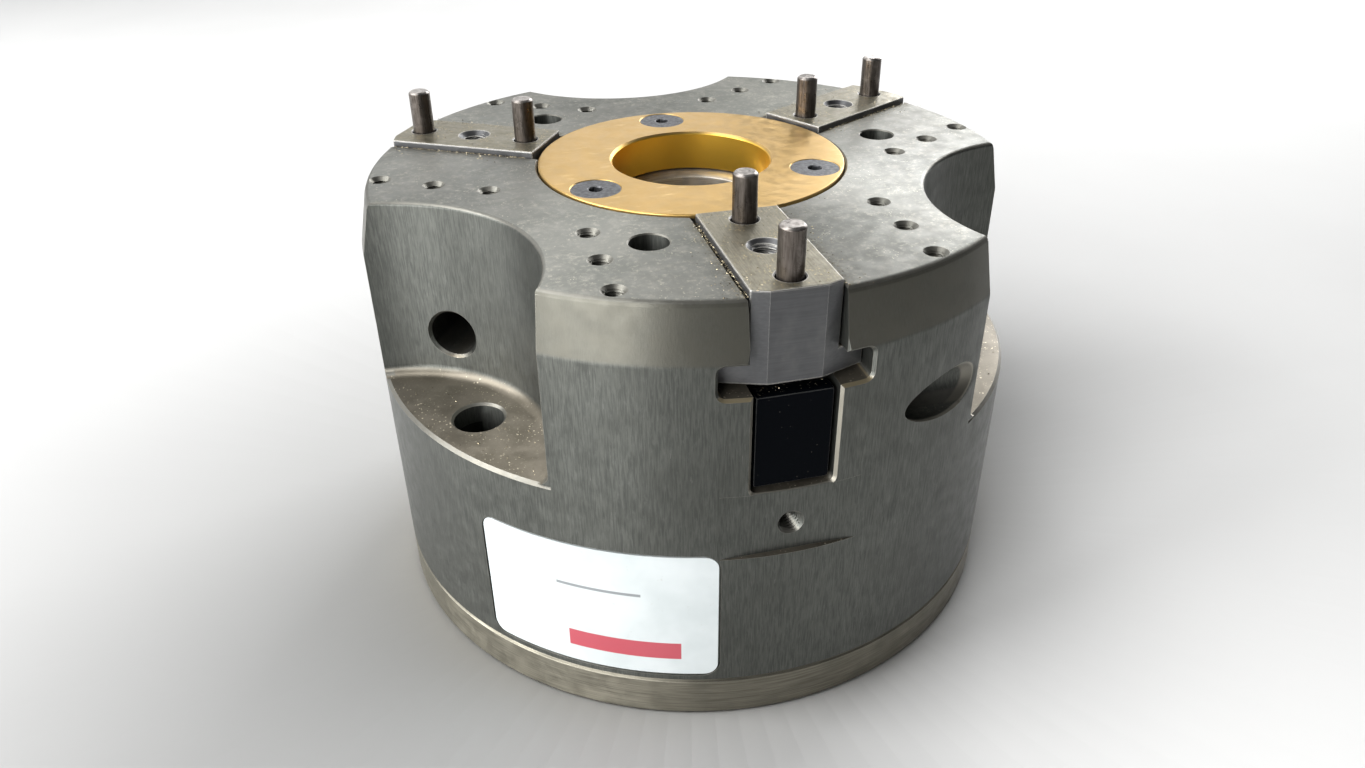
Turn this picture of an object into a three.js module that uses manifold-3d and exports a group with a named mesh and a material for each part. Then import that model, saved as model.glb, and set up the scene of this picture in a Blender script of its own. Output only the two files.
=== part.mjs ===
// Round three-jaw parallel gripper, jaws closed and piston down.
// Millimetres, +Z up, origin at the centre of the base plate's underside.
// Sector frame: u points outward along a jaw, v sideways, z up. Jaw 1 faces -Y.
import * as THREE from 'three';
import { mergeVertices } from 'three/addons/utils/BufferGeometryUtils.js';
import Module from 'manifold-3d';

const wasm = await Module();
wasm.setup();

// ---------- driving dimensions ----------
const GAP = 0.3; // clearance between neighbouring pieces
const ROUND = 36; // facets on large turned faces
const HIDDEN = 24; // facets on turned faces inside the housing
const SMALL = 12; // facets on screws, pins and drilled holes

const JAW_ANGLES = [-90, 30, 150];
const SCALLOP_ANGLES = [-30, 90, 210];

const BODY_R = 75;
const BODY_TOP = 98.7;
const TAPER_START = 87.2;
const TAPER_R = 72.6;
const EDGE = 1.0;

const PLATE_TOP = 9.9;
const SPIGOT_TOP = 12.1;
const CHAMBER_R = 54;
const SPIGOT_R = 53.2;
const SEAL_GROOVE = { inner: 55.6, outer: 58.2, depth: 2 };
const CHAMBER_TOP = 44;
const WALL_TOP = 49;

const BORE_R = 16;
const SLEEVE_R = 19;
const FLANGE_R = 24;
const FLANGE_BOTTOM = 87.3;
const FLANGE_TOP = 89.6;

const COVER_R = 34.9;
const COVER_BORE_R = 18.07;
const COVER_BOTTOM = 89.9;
const COVER_TOP = 99.1;
const COVER_SCREW_AT = 28.6;

const SCALLOP_AT = 88.7;
const SCALLOP_R = 36;
const LEDGE_Z = 57.5;
const LEDGE_HOLE_AT = 64;
const LEDGE_HOLE_R = 5.35;

const CAVITY_R = 24.6;
const CAVITY_TOP = 81;
const POCKET_V = 8.3;
const POCKET_END = 58;
const WINDOW_BOTTOM = 58.8;
const SLOT_BOTTOM = 80.2;
const SLOT_TOP = 86.8;
const SLOT_V = 14.6;
const SLOT_START = 25.9;
const NECK_V = 9.1;

const SENSOR_INNER = { u: 43.8, z: 68.2, r: 5.3 };
const SENSOR_OUTER = { u: 66, z: 69.8, r: 4.8 };

const FLAT_U = 73.6;
const FLAT_Z = [43.3, 58.6];
const FLAT_HOLE_Z = 49.8;

const JAW_TOP = 100;
const JAW_V = 8.6;
const JAW_U = [35.5, 72.4];
// The jaw's front is flat to FRONT_V either side and slopes back by FRONT_SLOPE beyond it.
const FRONT_V = 5.3;
const FRONT_SLOPE = 0.364;
const FOOT_V = 14.2;
const FOOT_Z = [81.2, 86.4];
const FOOT_START = 26.6;
const HOOK_V = 7.8;
const HOOK_BOTTOM = 59.2;
const HOOK_END = 56.5;
const DOWEL_AT = [40.8, 67.4];
const DOWEL_R = 2.5;
const DOWEL_TOP = 109.75;
const JAW_THREAD_AT = 54.1;

// The wedge rail's centre line leans inward as it rises: u falls by RAIL_SLOPE for each mm of z.
const RAIL_SLOPE = 0.6;
const RAIL_AT = { u: 45, z: 64 };
const RAIL_HEAD = { half: 2, v: 5.2 };
const RAIL_NECK_V = 2.8;
const DRIVER_Z = [49.6, 66.2];

const PISTON_R = 53.7;
const PISTON_Z = [12.4, 23.4];
const PISTON_SEAT = 18.4;
const DRIVER_FLANGE_R = 34;
const DRIVER_SCREW_AT = 28.5;

const BASE_SCREW_AT = 65;
const BASE_SCREW_ANGLE = 20;
const BASE_SCREW_HEAD = { r: 5, bottom: 0.4, top: 6.2 };
const BASE_SCREW_END = 26;

const LABEL_ANGLES = [-140.3, -100.8];
const LABEL_Z = [12.1, 44];
const LABEL_R = [74.5, 74.9];
const LABEL_MARGIN = 1.3;

const AIR_PORT_R = 2;
const PORTS = [{ at: 45, angle: 60 }, { at: 62, angle: 60 }];

// ---------- materials ----------
function finish(colour, roughness, metalness) {
  return new THREE.MeshStandardMaterial({ color: colour, roughness, metalness });
}

const anodised = finish(0x5f615c, 0.55, 0.6);
const plateAnodised = finish(0x7d786b, 0.5, 0.6);
const gold = finish(0xe0b45c, 0.32, 0.9);
const jawSteel = finish(0x84817a, 0.4, 0.85);
const pinSteel = finish(0x5c554f, 0.35, 0.9);
const blackScrew = finish(0x3a3a3c, 0.45, 0.7);
const blackBlock = finish(0x0d0e10, 0.12, 0.0);
const sleeveSteel = finish(0xaaa7a2, 0.28, 0.95);
const rubber = finish(0x17181a, 0.8, 0.0);
const guideTape = finish(0x6a4a2a, 0.6, 0.0);
const labelWhite = finish(0xdadcda, 0.4, 0.0);
const driverSteel = finish(0x77777a, 0.35, 0.9);

// ---------- solid helpers ----------
function solid(geometry) {
  const plain = geometry.index ? geometry.toNonIndexed() : geometry.clone();
  plain.deleteAttribute('normal');
  plain.deleteAttribute('uv');
  const merged = mergeVertices(plain, 1e-4);
  const vertProperties = new Float32Array(merged.attributes.position.array);
  const triVerts = new Uint32Array(merged.index.array);
  return new wasm.Manifold(new wasm.Mesh({ numProp: 3, vertProperties, triVerts }));
}

function geometryOf(manifold) {
  const { vertProperties, triVerts } = manifold.getMesh();
  const geometry = new THREE.BufferGeometry();
  geometry.setAttribute('position', new THREE.BufferAttribute(new Float32Array(vertProperties), 3));
  geometry.setIndex(new THREE.BufferAttribute(new Uint32Array(triVerts), 1));
  geometry.computeVertexNormals();
  return geometry;
}

// A turned solid from [radius, z] points listed counter-clockwise, bottom to top on the outside.
function turned(profile, segments = ROUND) {
  const points = profile.map(([radius, z]) => new THREE.Vector2(radius, z));
  return new THREE.LatheGeometry(points, segments).rotateX(Math.PI / 2);
}

function turnedSolid(profile, segments = ROUND) {
  return solid(turned(profile, segments));
}

function rod(radius, low, high, segments = SMALL) {
  const shape = new THREE.CylinderGeometry(radius, radius, high - low, segments);
  return shape.rotateX(Math.PI / 2).translate(0, 0, (low + high) / 2);
}

function cone(lowRadius, highRadius, low, high, segments = SMALL) {
  const shape = new THREE.CylinderGeometry(highRadius, lowRadius, high - low, segments);
  return shape.rotateX(Math.PI / 2).translate(0, 0, (low + high) / 2);
}

function block(u, v, z) {
  const shape = new THREE.BoxGeometry(u[1] - u[0], v[1] - v[0], z[1] - z[0]);
  return shape.translate((u[0] + u[1]) / 2, (v[0] + v[1]) / 2, (z[0] + z[1]) / 2);
}

// An outline in [u, v] raised from low to high.
function raised(outline, low, high) {
  const shape = new THREE.Shape(outline.map(([u, v]) => new THREE.Vector2(u, v)));
  const options = { depth: high - low, bevelEnabled: false };
  return new THREE.ExtrudeGeometry(shape, options).translate(0, 0, low);
}

// An outline in [u, z] given thickness half on each side of v = 0.
function sideways(outline, half) {
  const shape = new THREE.Shape(outline.map(([u, z]) => new THREE.Vector2(u, z)));
  const options = { depth: 2 * half, bevelEnabled: false };
  return new THREE.ExtrudeGeometry(shape, options).rotateX(Math.PI / 2).translate(0, half, 0);
}

// A curved plate between two radii, two angles and two heights.
function shellPiece(radii, angles, heights, segments) {
  const [start, end] = angles.map(THREE.MathUtils.degToRad);
  const shape = new THREE.Shape();
  shape.absarc(0, 0, radii[1], start, end, false);
  shape.absarc(0, 0, radii[0], end, start, true);
  const options = { depth: heights[1] - heights[0], bevelEnabled: false, curveSegments: segments };
  return new THREE.ExtrudeGeometry(shape, options).translate(0, 0, heights[0]);
}

function turnedTo(geometry, degrees) {
  return geometry.clone().rotateZ(THREE.MathUtils.degToRad(degrees));
}

function shifted(geometry, u, v = 0, z = 0) {
  return geometry.clone().translate(u, v, z);
}

function cutAll(body, cutters) {
  return cutters.reduce((rest, cutter) => rest.subtract(solid(cutter)), body);
}

function joinAll(pieces) {
  return pieces.map(solid).reduce((whole, piece) => whole.add(piece));
}

function hexSocket(acrossFlats, low, high) {
  return rod(acrossFlats / Math.sqrt(3), low, high, 6);
}

function railU(z) {
  return RAIL_AT.u - RAIL_SLOPE * (z - RAIL_AT.z);
}

// A slanted bar that follows the wedge rail between two heights.
function railBar(inner, outer, low, high, half) {
  const outline = [
    [railU(low) + inner, low],
    [railU(low) + outer, low],
    [railU(high) + outer, high],
    [railU(high) + inner, high],
  ];
  return sideways(outline, half);
}

// ---------- housing ----------
function bodyBlank() {
  return turnedSolid([
    [0, PLATE_TOP + GAP],
    [BODY_R, PLATE_TOP + GAP],
    [BODY_R, TAPER_START],
    [TAPER_R, BODY_TOP - EDGE],
    [TAPER_R - EDGE, BODY_TOP],
    [0, BODY_TOP],
  ]);
}

function centreCutters() {
  const past = 1;
  return [
    rod(CHAMBER_R, 0, CHAMBER_TOP, HIDDEN),
    rod(FLANGE_R + GAP, CHAMBER_TOP - past, WALL_TOP + past, HIDDEN),
    rod(CAVITY_R, WALL_TOP, CAVITY_TOP, HIDDEN),
    rod(SLEEVE_R + GAP, CAVITY_TOP - past, FLANGE_BOTTOM, HIDDEN),
    rod(FLANGE_R + GAP, FLANGE_BOTTOM - GAP, COVER_BOTTOM, HIDDEN),
    rod(COVER_R + GAP, COVER_BOTTOM - GAP, BODY_TOP + past, ROUND),
    sealRing(23, 27, 45.2, 47.8, HIDDEN),
  ];
}

function sideHole({ u, z, r }, start, end) {
  const shape = new THREE.CylinderGeometry(r, r, end - start, SMALL);
  return shape.translate(0, (start + end) / 2, 0).translate(u, 0, z);
}

function topHoleCutters() {
  const rows = [36.4, 49.4, 62.4];
  const tapped = rows.flatMap((u) => [-30.4, 30.4].map((v) => shifted(rod(1.65, 87, 100, 6), u, v)));
  return [...tapped, shifted(rod(4, 79, 100), 43.8, -19.9)];
}

function jawSectorCutters() {
  const past = BODY_R + 2;
  return [
    block([0, POCKET_END], [-POCKET_V, POCKET_V], [WALL_TOP, SLOT_BOTTOM + 0.1]),
    block([20, past], [-POCKET_V, POCKET_V], [WINDOW_BOTTOM, SLOT_BOTTOM + 0.1]),
    block([SLOT_START, past], [-SLOT_V, SLOT_V], [SLOT_BOTTOM, SLOT_TOP]),
    block([COVER_R + GAP - 1, past], [-NECK_V, NECK_V], [SLOT_TOP - 0.1, BODY_TOP + 1]),
    block([FLAT_U, past], [-20, 20], FLAT_Z),
    shifted(rod(2.1, 0, 15, 8).rotateY(Math.PI / 2), FLAT_U - 14, 0.4, FLAT_HOLE_Z),
    sideHole(SENSOR_INNER, 0, 45),
    sideHole(SENSOR_OUTER, 0, 45),
    ...topHoleCutters(),
  ];
}

function scallopCutters() {
  return [
    shifted(rod(SCALLOP_R, LEDGE_Z, 102, ROUND), SCALLOP_AT),
    shifted(rod(LEDGE_HOLE_R, 0, 60), LEDGE_HOLE_AT),
    shifted(rod(2.8, 81.5, 95), COVER_SCREW_AT),
  ];
}

function baseScrewAngles() {
  return JAW_ANGLES.flatMap((angle) => [angle - BASE_SCREW_ANGLE, angle + BASE_SCREW_ANGLE]);
}

function airCutters() {
  const [, upper] = PORTS;
  const riser = shifted(rod(AIR_PORT_R, 0, 42, 8), upper.at);
  const cross = shifted(rod(1.2, 0, 12, 6).rotateY(Math.PI / 2), CHAMBER_R - 3, 0, 41);
  return [turnedTo(riser, upper.angle), turnedTo(cross, upper.angle)];
}

function labelRecess() {
  const spread = THREE.MathUtils.radToDeg(LABEL_MARGIN / BODY_R);
  const angles = [LABEL_ANGLES[0] - spread, LABEL_ANGLES[1] + spread];
  const heights = [LABEL_Z[0] - LABEL_MARGIN, LABEL_Z[1] + LABEL_MARGIN];
  return shellPiece([LABEL_R[0] - GAP, BODY_R + 2], angles, heights, 9);
}

function makeBodyHousing() {
  const cutters = centreCutters();
  JAW_ANGLES.forEach((angle) => {
    jawSectorCutters().forEach((cutter) => cutters.push(turnedTo(cutter, angle)));
  });
  SCALLOP_ANGLES.forEach((angle) => {
    scallopCutters().forEach((cutter) => cutters.push(turnedTo(cutter, angle)));
  });
  baseScrewAngles().forEach((angle) => {
    cutters.push(turnedTo(shifted(rod(3.3, 0, BASE_SCREW_END + GAP, 12), BASE_SCREW_AT), angle));
  });
  cutters.push(...airCutters(), labelRecess());
  return cutAll(bodyBlank(), cutters);
}

function makeBasePlate() {
  const blank = turnedSolid([
    [SLEEVE_R + GAP, 0],
    [BODY_R - 0.8, 0],
    [BODY_R, 0.8],
    [BODY_R, PLATE_TOP - 0.4],
    [BODY_R - 0.4, PLATE_TOP],
    [SEAL_GROOVE.outer, PLATE_TOP],
    [SEAL_GROOVE.outer, PLATE_TOP - SEAL_GROOVE.depth],
    [SEAL_GROOVE.inner, PLATE_TOP - SEAL_GROOVE.depth],
    [SEAL_GROOVE.inner, PLATE_TOP],
    [SPIGOT_R, PLATE_TOP],
    [SPIGOT_R, SPIGOT_TOP],
    [SLEEVE_R + GAP, SPIGOT_TOP],
    [SLEEVE_R + GAP, 0],
  ]);
  const cutters = SCALLOP_ANGLES.map((angle) => (
    turnedTo(shifted(rod(LEDGE_HOLE_R, -1, 12), LEDGE_HOLE_AT), angle)
  ));
  baseScrewAngles().forEach((angle) => {
    const head = rod(BASE_SCREW_HEAD.r + GAP, -1, BASE_SCREW_HEAD.top + GAP);
    cutters.push(turnedTo(shifted(head, BASE_SCREW_AT), angle));
    cutters.push(turnedTo(shifted(rod(3.3, 0, 12, 12), BASE_SCREW_AT), angle));
  });
  PORTS.forEach(({ at, angle }) => {
    cutters.push(turnedTo(shifted(rod(AIR_PORT_R, -1, 14, 8), at), angle));
    cutters.push(turnedTo(shifted(rod(4, -1, 1.8, 12), at), angle));
  });
  return cutAll(blank, cutters);
}

function makeCentreSleeve() {
  return turned([
    [BORE_R, 0.6],
    [SLEEVE_R, 0.6],
    [SLEEVE_R, FLANGE_BOTTOM],
    [FLANGE_R, FLANGE_BOTTOM],
    [FLANGE_R, FLANGE_TOP],
    [BORE_R + 1, FLANGE_TOP],
    [BORE_R, FLANGE_TOP - 1],
    [BORE_R, 0.6],
  ], HIDDEN);
}

function makeCentreCover() {
  const blank = turnedSolid([
    [COVER_BORE_R, COVER_BOTTOM],
    [COVER_R, COVER_BOTTOM],
    [COVER_R, COVER_TOP - 0.3],
    [COVER_R - 0.3, COVER_TOP],
    [COVER_BORE_R + 0.7, COVER_TOP],
    [COVER_BORE_R, COVER_TOP - 0.7],
    [COVER_BORE_R, COVER_BOTTOM],
  ]);
  const cutters = SCALLOP_ANGLES.flatMap((angle) => [
    turnedTo(shifted(cone(2.8, 5.6, 96.3, 99.2), COVER_SCREW_AT), angle),
    turnedTo(shifted(rod(2.8, 89, 97), COVER_SCREW_AT), angle),
  ]);
  return cutAll(blank, cutters);
}

function makeCoverScrew() {
  const blank = turnedSolid([[0, 82], [2.5, 82], [2.5, 96.2], [5.15, 98.85], [0, 98.85]], SMALL);
  return shifted(geometryOf(cutAll(blank, [hexSocket(3, 96.9, 100)])), COVER_SCREW_AT);
}

function makeWindowBlock() {
  return block([69.6, 73.4], [-7.6, 7.6], [59.4, 79.4]);
}

function makeBaseScrew() {
  const { r, bottom, top } = BASE_SCREW_HEAD;
  const blank = turnedSolid(
    [[0, bottom], [r, bottom], [r, top], [3, top], [3, BASE_SCREW_END], [0, BASE_SCREW_END]],
    SMALL,
  );
  return shifted(geometryOf(cutAll(blank, [hexSocket(5, 0, 3.4)])), BASE_SCREW_AT);
}

function sealRing(inner, outer, low, high, segments = HIDDEN) {
  return turned([[inner, low], [outer, low], [outer, high], [inner, high], [inner, low]], segments);
}

// ---------- drive ----------
function makePiston() {
  const [low, high] = PISTON_Z;
  const inner = SLEEVE_R + GAP;
  const blank = turnedSolid([
    [inner, low],
    [PISTON_R - 0.5, low],
    [PISTON_R, low + 0.5],
    [PISTON_R, 14.6],
    [50.5, 14.6],
    [50.5, 17.6],
    [PISTON_R, 17.6],
    [PISTON_R, 19],
    [52.1, 19],
    [52.1, 22],
    [PISTON_R, 22],
    [PISTON_R, high],
    [DRIVER_FLANGE_R + GAP, high],
    [DRIVER_FLANGE_R + GAP, PISTON_SEAT],
    [inner, PISTON_SEAT],
    [inner, 16.6],
    [21.9, 16.6],
    [21.9, 13.8],
    [inner, 13.8],
    [inner, low],
  ], HIDDEN);
  const cutters = SCALLOP_ANGLES.flatMap((angle) => [
    turnedTo(shifted(rod(4.5, 10, 15.6), DRIVER_SCREW_AT), angle),
    turnedTo(shifted(rod(2.8, 12, 20, 12), DRIVER_SCREW_AT), angle),
  ]);
  return cutAll(blank, cutters);
}

function driverArm() {
  const [low, high] = DRIVER_Z;
  const outline = [[22, low], [railU(low), low], [railU(high), high], [34, high], [22, 56]];
  return joinAll([
    sideways(outline, RAIL_NECK_V),
    railBar(-RAIL_HEAD.half, RAIL_HEAD.half, low, high, RAIL_HEAD.v),
  ]);
}

function makeWedgeDriver() {
  const inner = SLEEVE_R + GAP;
  const hub = turnedSolid([
    [inner, PISTON_SEAT + GAP],
    [DRIVER_FLANGE_R, PISTON_SEAT + GAP],
    [DRIVER_FLANGE_R, PISTON_Z[1]],
    [FLANGE_R, PISTON_Z[1]],
    [FLANGE_R, 60],
    [inner, 60],
    [inner, PISTON_SEAT + GAP],
  ], HIDDEN);
  const arm = geometryOf(driverArm());
  const whole = JAW_ANGLES.reduce((body, angle) => body.add(solid(turnedTo(arm, angle))), hub);
  const holes = SCALLOP_ANGLES.map((angle) => (
    turnedTo(shifted(rod(2.8, 17, 22.6, 12), DRIVER_SCREW_AT), angle)
  ));
  return cutAll(whole, holes);
}

function makeDriverScrew() {
  const blank = turnedSolid([[0, 12.7], [4.2, 12.7], [4.2, 15.3], [2.5, 15.3], [2.5, 22], [0, 22]], SMALL);
  return shifted(geometryOf(cutAll(blank, [hexSocket(3, 12, 14.4)])), DRIVER_SCREW_AT);
}

// ---------- jaws ----------
function makeJaw() {
  const [start, end] = JAW_U;
  const shoulder = FRONT_SLOPE * (JAW_V - FRONT_V);
  const corner = FRONT_SLOPE * (FOOT_V - FRONT_V);
  const barOutline = [[start, -JAW_V], [end - shoulder, -JAW_V], [end, -FRONT_V], [end, FRONT_V],
    [end - shoulder, JAW_V], [start, JAW_V]];
  const footOutline = [[FOOT_START, -FOOT_V], [end - corner, -FOOT_V], [end, -FRONT_V],
    [end, FRONT_V], [end - corner, FOOT_V], [FOOT_START, FOOT_V]];
  const hookLead = 5;
  const hookTop = FOOT_Z[0] + 0.5;
  const hookOutline = [[railU(HOOK_BOTTOM) - hookLead, HOOK_BOTTOM], [HOOK_END, HOOK_BOTTOM],
    [HOOK_END, hookTop], [railU(hookTop) - hookLead, hookTop]];
  const blank = joinAll([
    raised(barOutline, FOOT_Z[1] - 0.5, JAW_TOP),
    raised(footOutline, ...FOOT_Z),
    sideways(hookOutline, HOOK_V),
  ]);
  const reach = RAIL_HEAD.half + GAP;
  return cutAll(blank, [
    railBar(-reach, reach, 55, 90, RAIL_HEAD.v + GAP),
    railBar(-12, 0, 55, 90, RAIL_NECK_V + GAP),
    ...DOWEL_AT.map((u) => shifted(rod(DOWEL_R + GAP, 90, 101), u)),
    shifted(rod(2.5, 88, 101), JAW_THREAD_AT),
    shifted(cone(2.5, 4, 99, 100.5), JAW_THREAD_AT),
  ]);
}

function makeDowel(u) {
  const profile = [[0, 90.3], [DOWEL_R, 90.3], [DOWEL_R, DOWEL_TOP - 0.5], [DOWEL_R - 0.5, DOWEL_TOP],
    [0, DOWEL_TOP]];
  return shifted(turned(profile, SMALL), u);
}

// ---------- assembly ----------
const gripper = new THREE.Group();
gripper.name = 'gripper';

function add(parent, name, shape, material) {
  const geometry = shape.isBufferGeometry ? shape : geometryOf(shape);
  const mesh = new THREE.Mesh(geometry, material);
  mesh.name = name;
  parent.add(mesh);
}

function turnedGroup(degrees) {
  const group = new THREE.Group();
  group.rotation.z = THREE.MathUtils.degToRad(degrees);
  gripper.add(group);
  return group;
}

add(gripper, 'body_housing', makeBodyHousing(), anodised);
add(gripper, 'base_plate', makeBasePlate(), plateAnodised);
add(gripper, 'centre_sleeve', makeCentreSleeve(), sleeveSteel);
add(gripper, 'centre_cover', makeCentreCover(), gold);
add(gripper, 'base_seal', sealRing(55.9, 57.9, 8.2, 9.9, ROUND), rubber);
add(gripper, 'rod_seal', sealRing(24.2, 26.7, 45.5, 47.5), rubber);
add(gripper, 'label_plate', shellPiece(LABEL_R, LABEL_ANGLES, LABEL_Z, 8), labelWhite);

add(gripper, 'piston', makePiston(), anodised);
add(gripper, 'piston_seal', sealRing(50.8, 53.85, 14.9, 17.3), rubber);
add(gripper, 'piston_guide_ring', sealRing(52.4, 53.85, 19.3, 21.7), guideTape);
add(gripper, 'sleeve_seal', sealRing(19.1, 21.6, 14.1, 16.3), rubber);
add(gripper, 'wedge_driver', makeWedgeDriver(), driverSteel);

PORTS.forEach(({ at, angle }, index) => {
  const ring = shifted(sealRing(2.3, 3.7, 0.3, 1.5, SMALL), at);
  add(turnedGroup(angle), `port_seal_${index + 1}`, ring, rubber);
});

SCALLOP_ANGLES.forEach((angle, index) => {
  const group = turnedGroup(angle);
  add(group, `cover_screw_${index + 1}`, makeCoverScrew(), blackScrew);
  add(group, `driver_screw_${index + 1}`, makeDriverScrew(), blackScrew);
});

baseScrewAngles().forEach((angle, index) => {
  add(turnedGroup(angle), `base_screw_${index + 1}`, makeBaseScrew(), blackScrew);
});

JAW_ANGLES.forEach((angle, index) => {
  const group = turnedGroup(angle);
  const jaw = `jaw_${index + 1}`;
  add(group, jaw, makeJaw(), jawSteel);
  add(group, `${jaw}_dowel_inner`, makeDowel(DOWEL_AT[0]), pinSteel);
  add(group, `${jaw}_dowel_outer`, makeDowel(DOWEL_AT[1]), pinSteel);
  add(group, `window_block_${index + 1}`, makeWindowBlock(), blackBlock);
});

export default gripper;
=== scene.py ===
import math
import random
from contextlib import contextmanager

import bmesh
import bpy
from mathutils import Matrix, Vector


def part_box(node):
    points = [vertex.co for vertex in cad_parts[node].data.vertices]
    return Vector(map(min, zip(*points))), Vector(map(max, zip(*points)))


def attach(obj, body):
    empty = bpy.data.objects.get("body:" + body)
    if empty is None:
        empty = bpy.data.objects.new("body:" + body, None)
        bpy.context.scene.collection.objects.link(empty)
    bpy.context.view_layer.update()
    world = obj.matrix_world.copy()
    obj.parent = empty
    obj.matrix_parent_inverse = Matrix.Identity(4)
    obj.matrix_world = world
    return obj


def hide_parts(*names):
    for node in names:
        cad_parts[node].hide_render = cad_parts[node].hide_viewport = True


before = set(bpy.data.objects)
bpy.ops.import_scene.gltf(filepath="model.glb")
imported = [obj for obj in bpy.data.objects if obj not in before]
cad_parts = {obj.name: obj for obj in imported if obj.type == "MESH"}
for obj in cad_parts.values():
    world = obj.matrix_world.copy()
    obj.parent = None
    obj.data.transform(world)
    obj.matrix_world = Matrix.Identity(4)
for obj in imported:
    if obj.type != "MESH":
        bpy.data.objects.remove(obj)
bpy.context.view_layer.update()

# --- sizes
# Millimetres, turned into metres when a mesh is made. In a sector frame u points outward along a
# jaw or a scallop, v sideways and z up. A name ending in _R is a radius and in _V a half width.
MM = 0.001


def limit(node, end, axis):
    """Where a CAD node begins (end 0) or ends (end 1) along an axis."""
    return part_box(node)[end][axis] / MM


GAP = 0.3
FINE = 192      # facets round the large turned faces
MEDIUM = 96     # facets round faces of 20 to 60 mm
HOLE = 40       # facets round drilled holes and pins

JAW_ANGLES = (-90, 30, 150)
SCALLOP_ANGLES = (-30, 90, 210)

BODY_R = limit("body_housing", 1, 0)
BODY_BOTTOM = limit("body_housing", 0, 2)
BODY_TOP = limit("body_housing", 1, 2)
PLATE_TOP = BODY_BOTTOM - GAP
TAPER_START = BODY_TOP - 11.5
TAPER_R = BODY_R - 2.4

CHAMBER_R = 54
CHAMBER_TOP = 44
WALL_TOP = 49
BORE_R = 16
SLEEVE_R = 19
FLANGE_R = 24
FLANGE_BOTTOM = 87.3
FLANGE_TOP = limit("centre_sleeve", 1, 2)
CAVITY_R = 24.6
CAVITY_TOP = 81

COVER_R = 34.9
COVER_BORE_R = 18.07
COVER_BOTTOM = limit("centre_cover", 0, 2)
COVER_TOP = limit("centre_cover", 1, 2)
COVER_SCREW_AT = 28.6

SCALLOP_AT = 88.7
SCALLOP_R = 36
LEDGE_Z = 57.5
LEDGE_HOLE_AT = 64
LEDGE_HOLE_R = 5.35

POCKET_V = 8.3
POCKET_END = 58
WINDOW_BOTTOM = 58.8
SLOT_BOTTOM = 80.2
SLOT_TOP = 86.8
SLOT_V = 14.6
SLOT_START = 25.9
NECK_V = 9.1
BLOCK_V = limit("window_block_1", 1, 0)
BLOCK_U = (-limit("window_block_1", 1, 1), -limit("window_block_1", 0, 1))
BLOCK_Z = (limit("window_block_1", 0, 2), limit("window_block_1", 1, 2))
SENSOR_INNER = {"u": 43.8, "z": 68.2, "r": 5.3}
SENSOR_OUTER = {"u": 66.0, "z": 69.8, "r": 4.8}
FLAT_U = 73.6
FLAT_Z = (43.3, 58.6)
FLAT_HOLE_Z = 49.8

JAW_TOP = limit("jaw_1", 1, 2)
JAW_V = 8.6
JAW_U = (35.5, 72.4)
FRONT_V = 5.3
FRONT_SLOPE = 0.364
FOOT_V = 14.2
FOOT_Z = (81.2, 86.4)
FOOT_START = 26.6
HOOK_V = 7.8
HOOK_BOTTOM = limit("jaw_1", 0, 2)
HOOK_END = 56.5
DOWEL_AT = (40.8, 67.4)
DOWEL_R = 2.5
DOWEL_TOP = limit("jaw_1_dowel_inner", 1, 2)
JAW_THREAD_AT = 54.1
RAIL_SLOPE = 0.6
RAIL_AT = (45, 64)

ROOM_R = 3200
ROOM_BEND = 900
ROOM_HEIGHT = 2600
# Painted shade: the backdrop wall is painted dark in this direction.
DARK_WALL_ANGLE = -40   # direction of the wall's darkest part, from +X
SOFTBOX_AWAY = 1100
SOFTBOX_SIZE = 700
SOFTBOX_AIM_Z = 50

TOP_THREADS_U = (36.4, 49.4, 62.4)
TOP_THREADS_V = (-30.4, 30.4)
LOCATING_AT = (43.8, -19.9)
LOCATING_R = 4.0
SEAL_GROOVE_R = (23, 27)
SEAL_GROOVE_Z = (45.2, 47.8)
COVER_SCREW_HOLE_R = 2.8
BASE_SCREW_HOLE_R = 3.3
BASE_SCREW_HEAD_R = 5.3
REGISTER_R = 53.2       # the base plate's raised centre, which enters the chamber
REGISTER_TOP = 12.1
PORT_R = 2
PORT_SEAL_R = 4

BASE_SCREW_AT = 65
BASE_SCREW_ANGLES = [a + s * 20 for a in JAW_ANGLES for s in (-1, 1)]
LABEL_ANGLES = (-140.3, -100.8)
LABEL_Z = (12.1, 44.0)
LABEL_R = (74.5, 74.9)
LABEL_CORNER = 2.8
LABEL_MARGIN = 0.45
# Plain marks on the label, sideways and then up: the middle, the half size and the soft edge.
LABEL_BAR = ((6.0, 11.95, 0.15), (18.6, 2.15, 0.15))
LABEL_RULE = ((1.0, 8.95, 0.15), (33.4, 0.3, 0.12))
PORTS = ((45, 60), (62, 60))


# --- mesh helpers
def polar(angle):
    """The cosine and sine of an angle in degrees."""
    return math.cos(math.radians(angle)), math.sin(math.radians(angle))


@contextmanager
def editing(mesh):
    bm = bmesh.new()
    bm.from_mesh(mesh)
    yield bm
    bm.to_mesh(mesh)
    bm.free()


def add_object(name, data):
    obj = bpy.data.objects.new(name, data)
    bpy.context.scene.collection.objects.link(obj)
    return obj


def mesh_object(name, points, faces):
    """An object from points in millimetres."""
    mesh = bpy.data.meshes.new(name)
    mesh.from_pydata([Vector(p) * MM for p in points], [], faces)
    with editing(mesh) as bm:
        bmesh.ops.remove_doubles(bm, verts=bm.verts, dist=1e-7)
        bmesh.ops.recalc_face_normals(bm, faces=bm.faces)
    return add_object(name, mesh)


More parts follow.
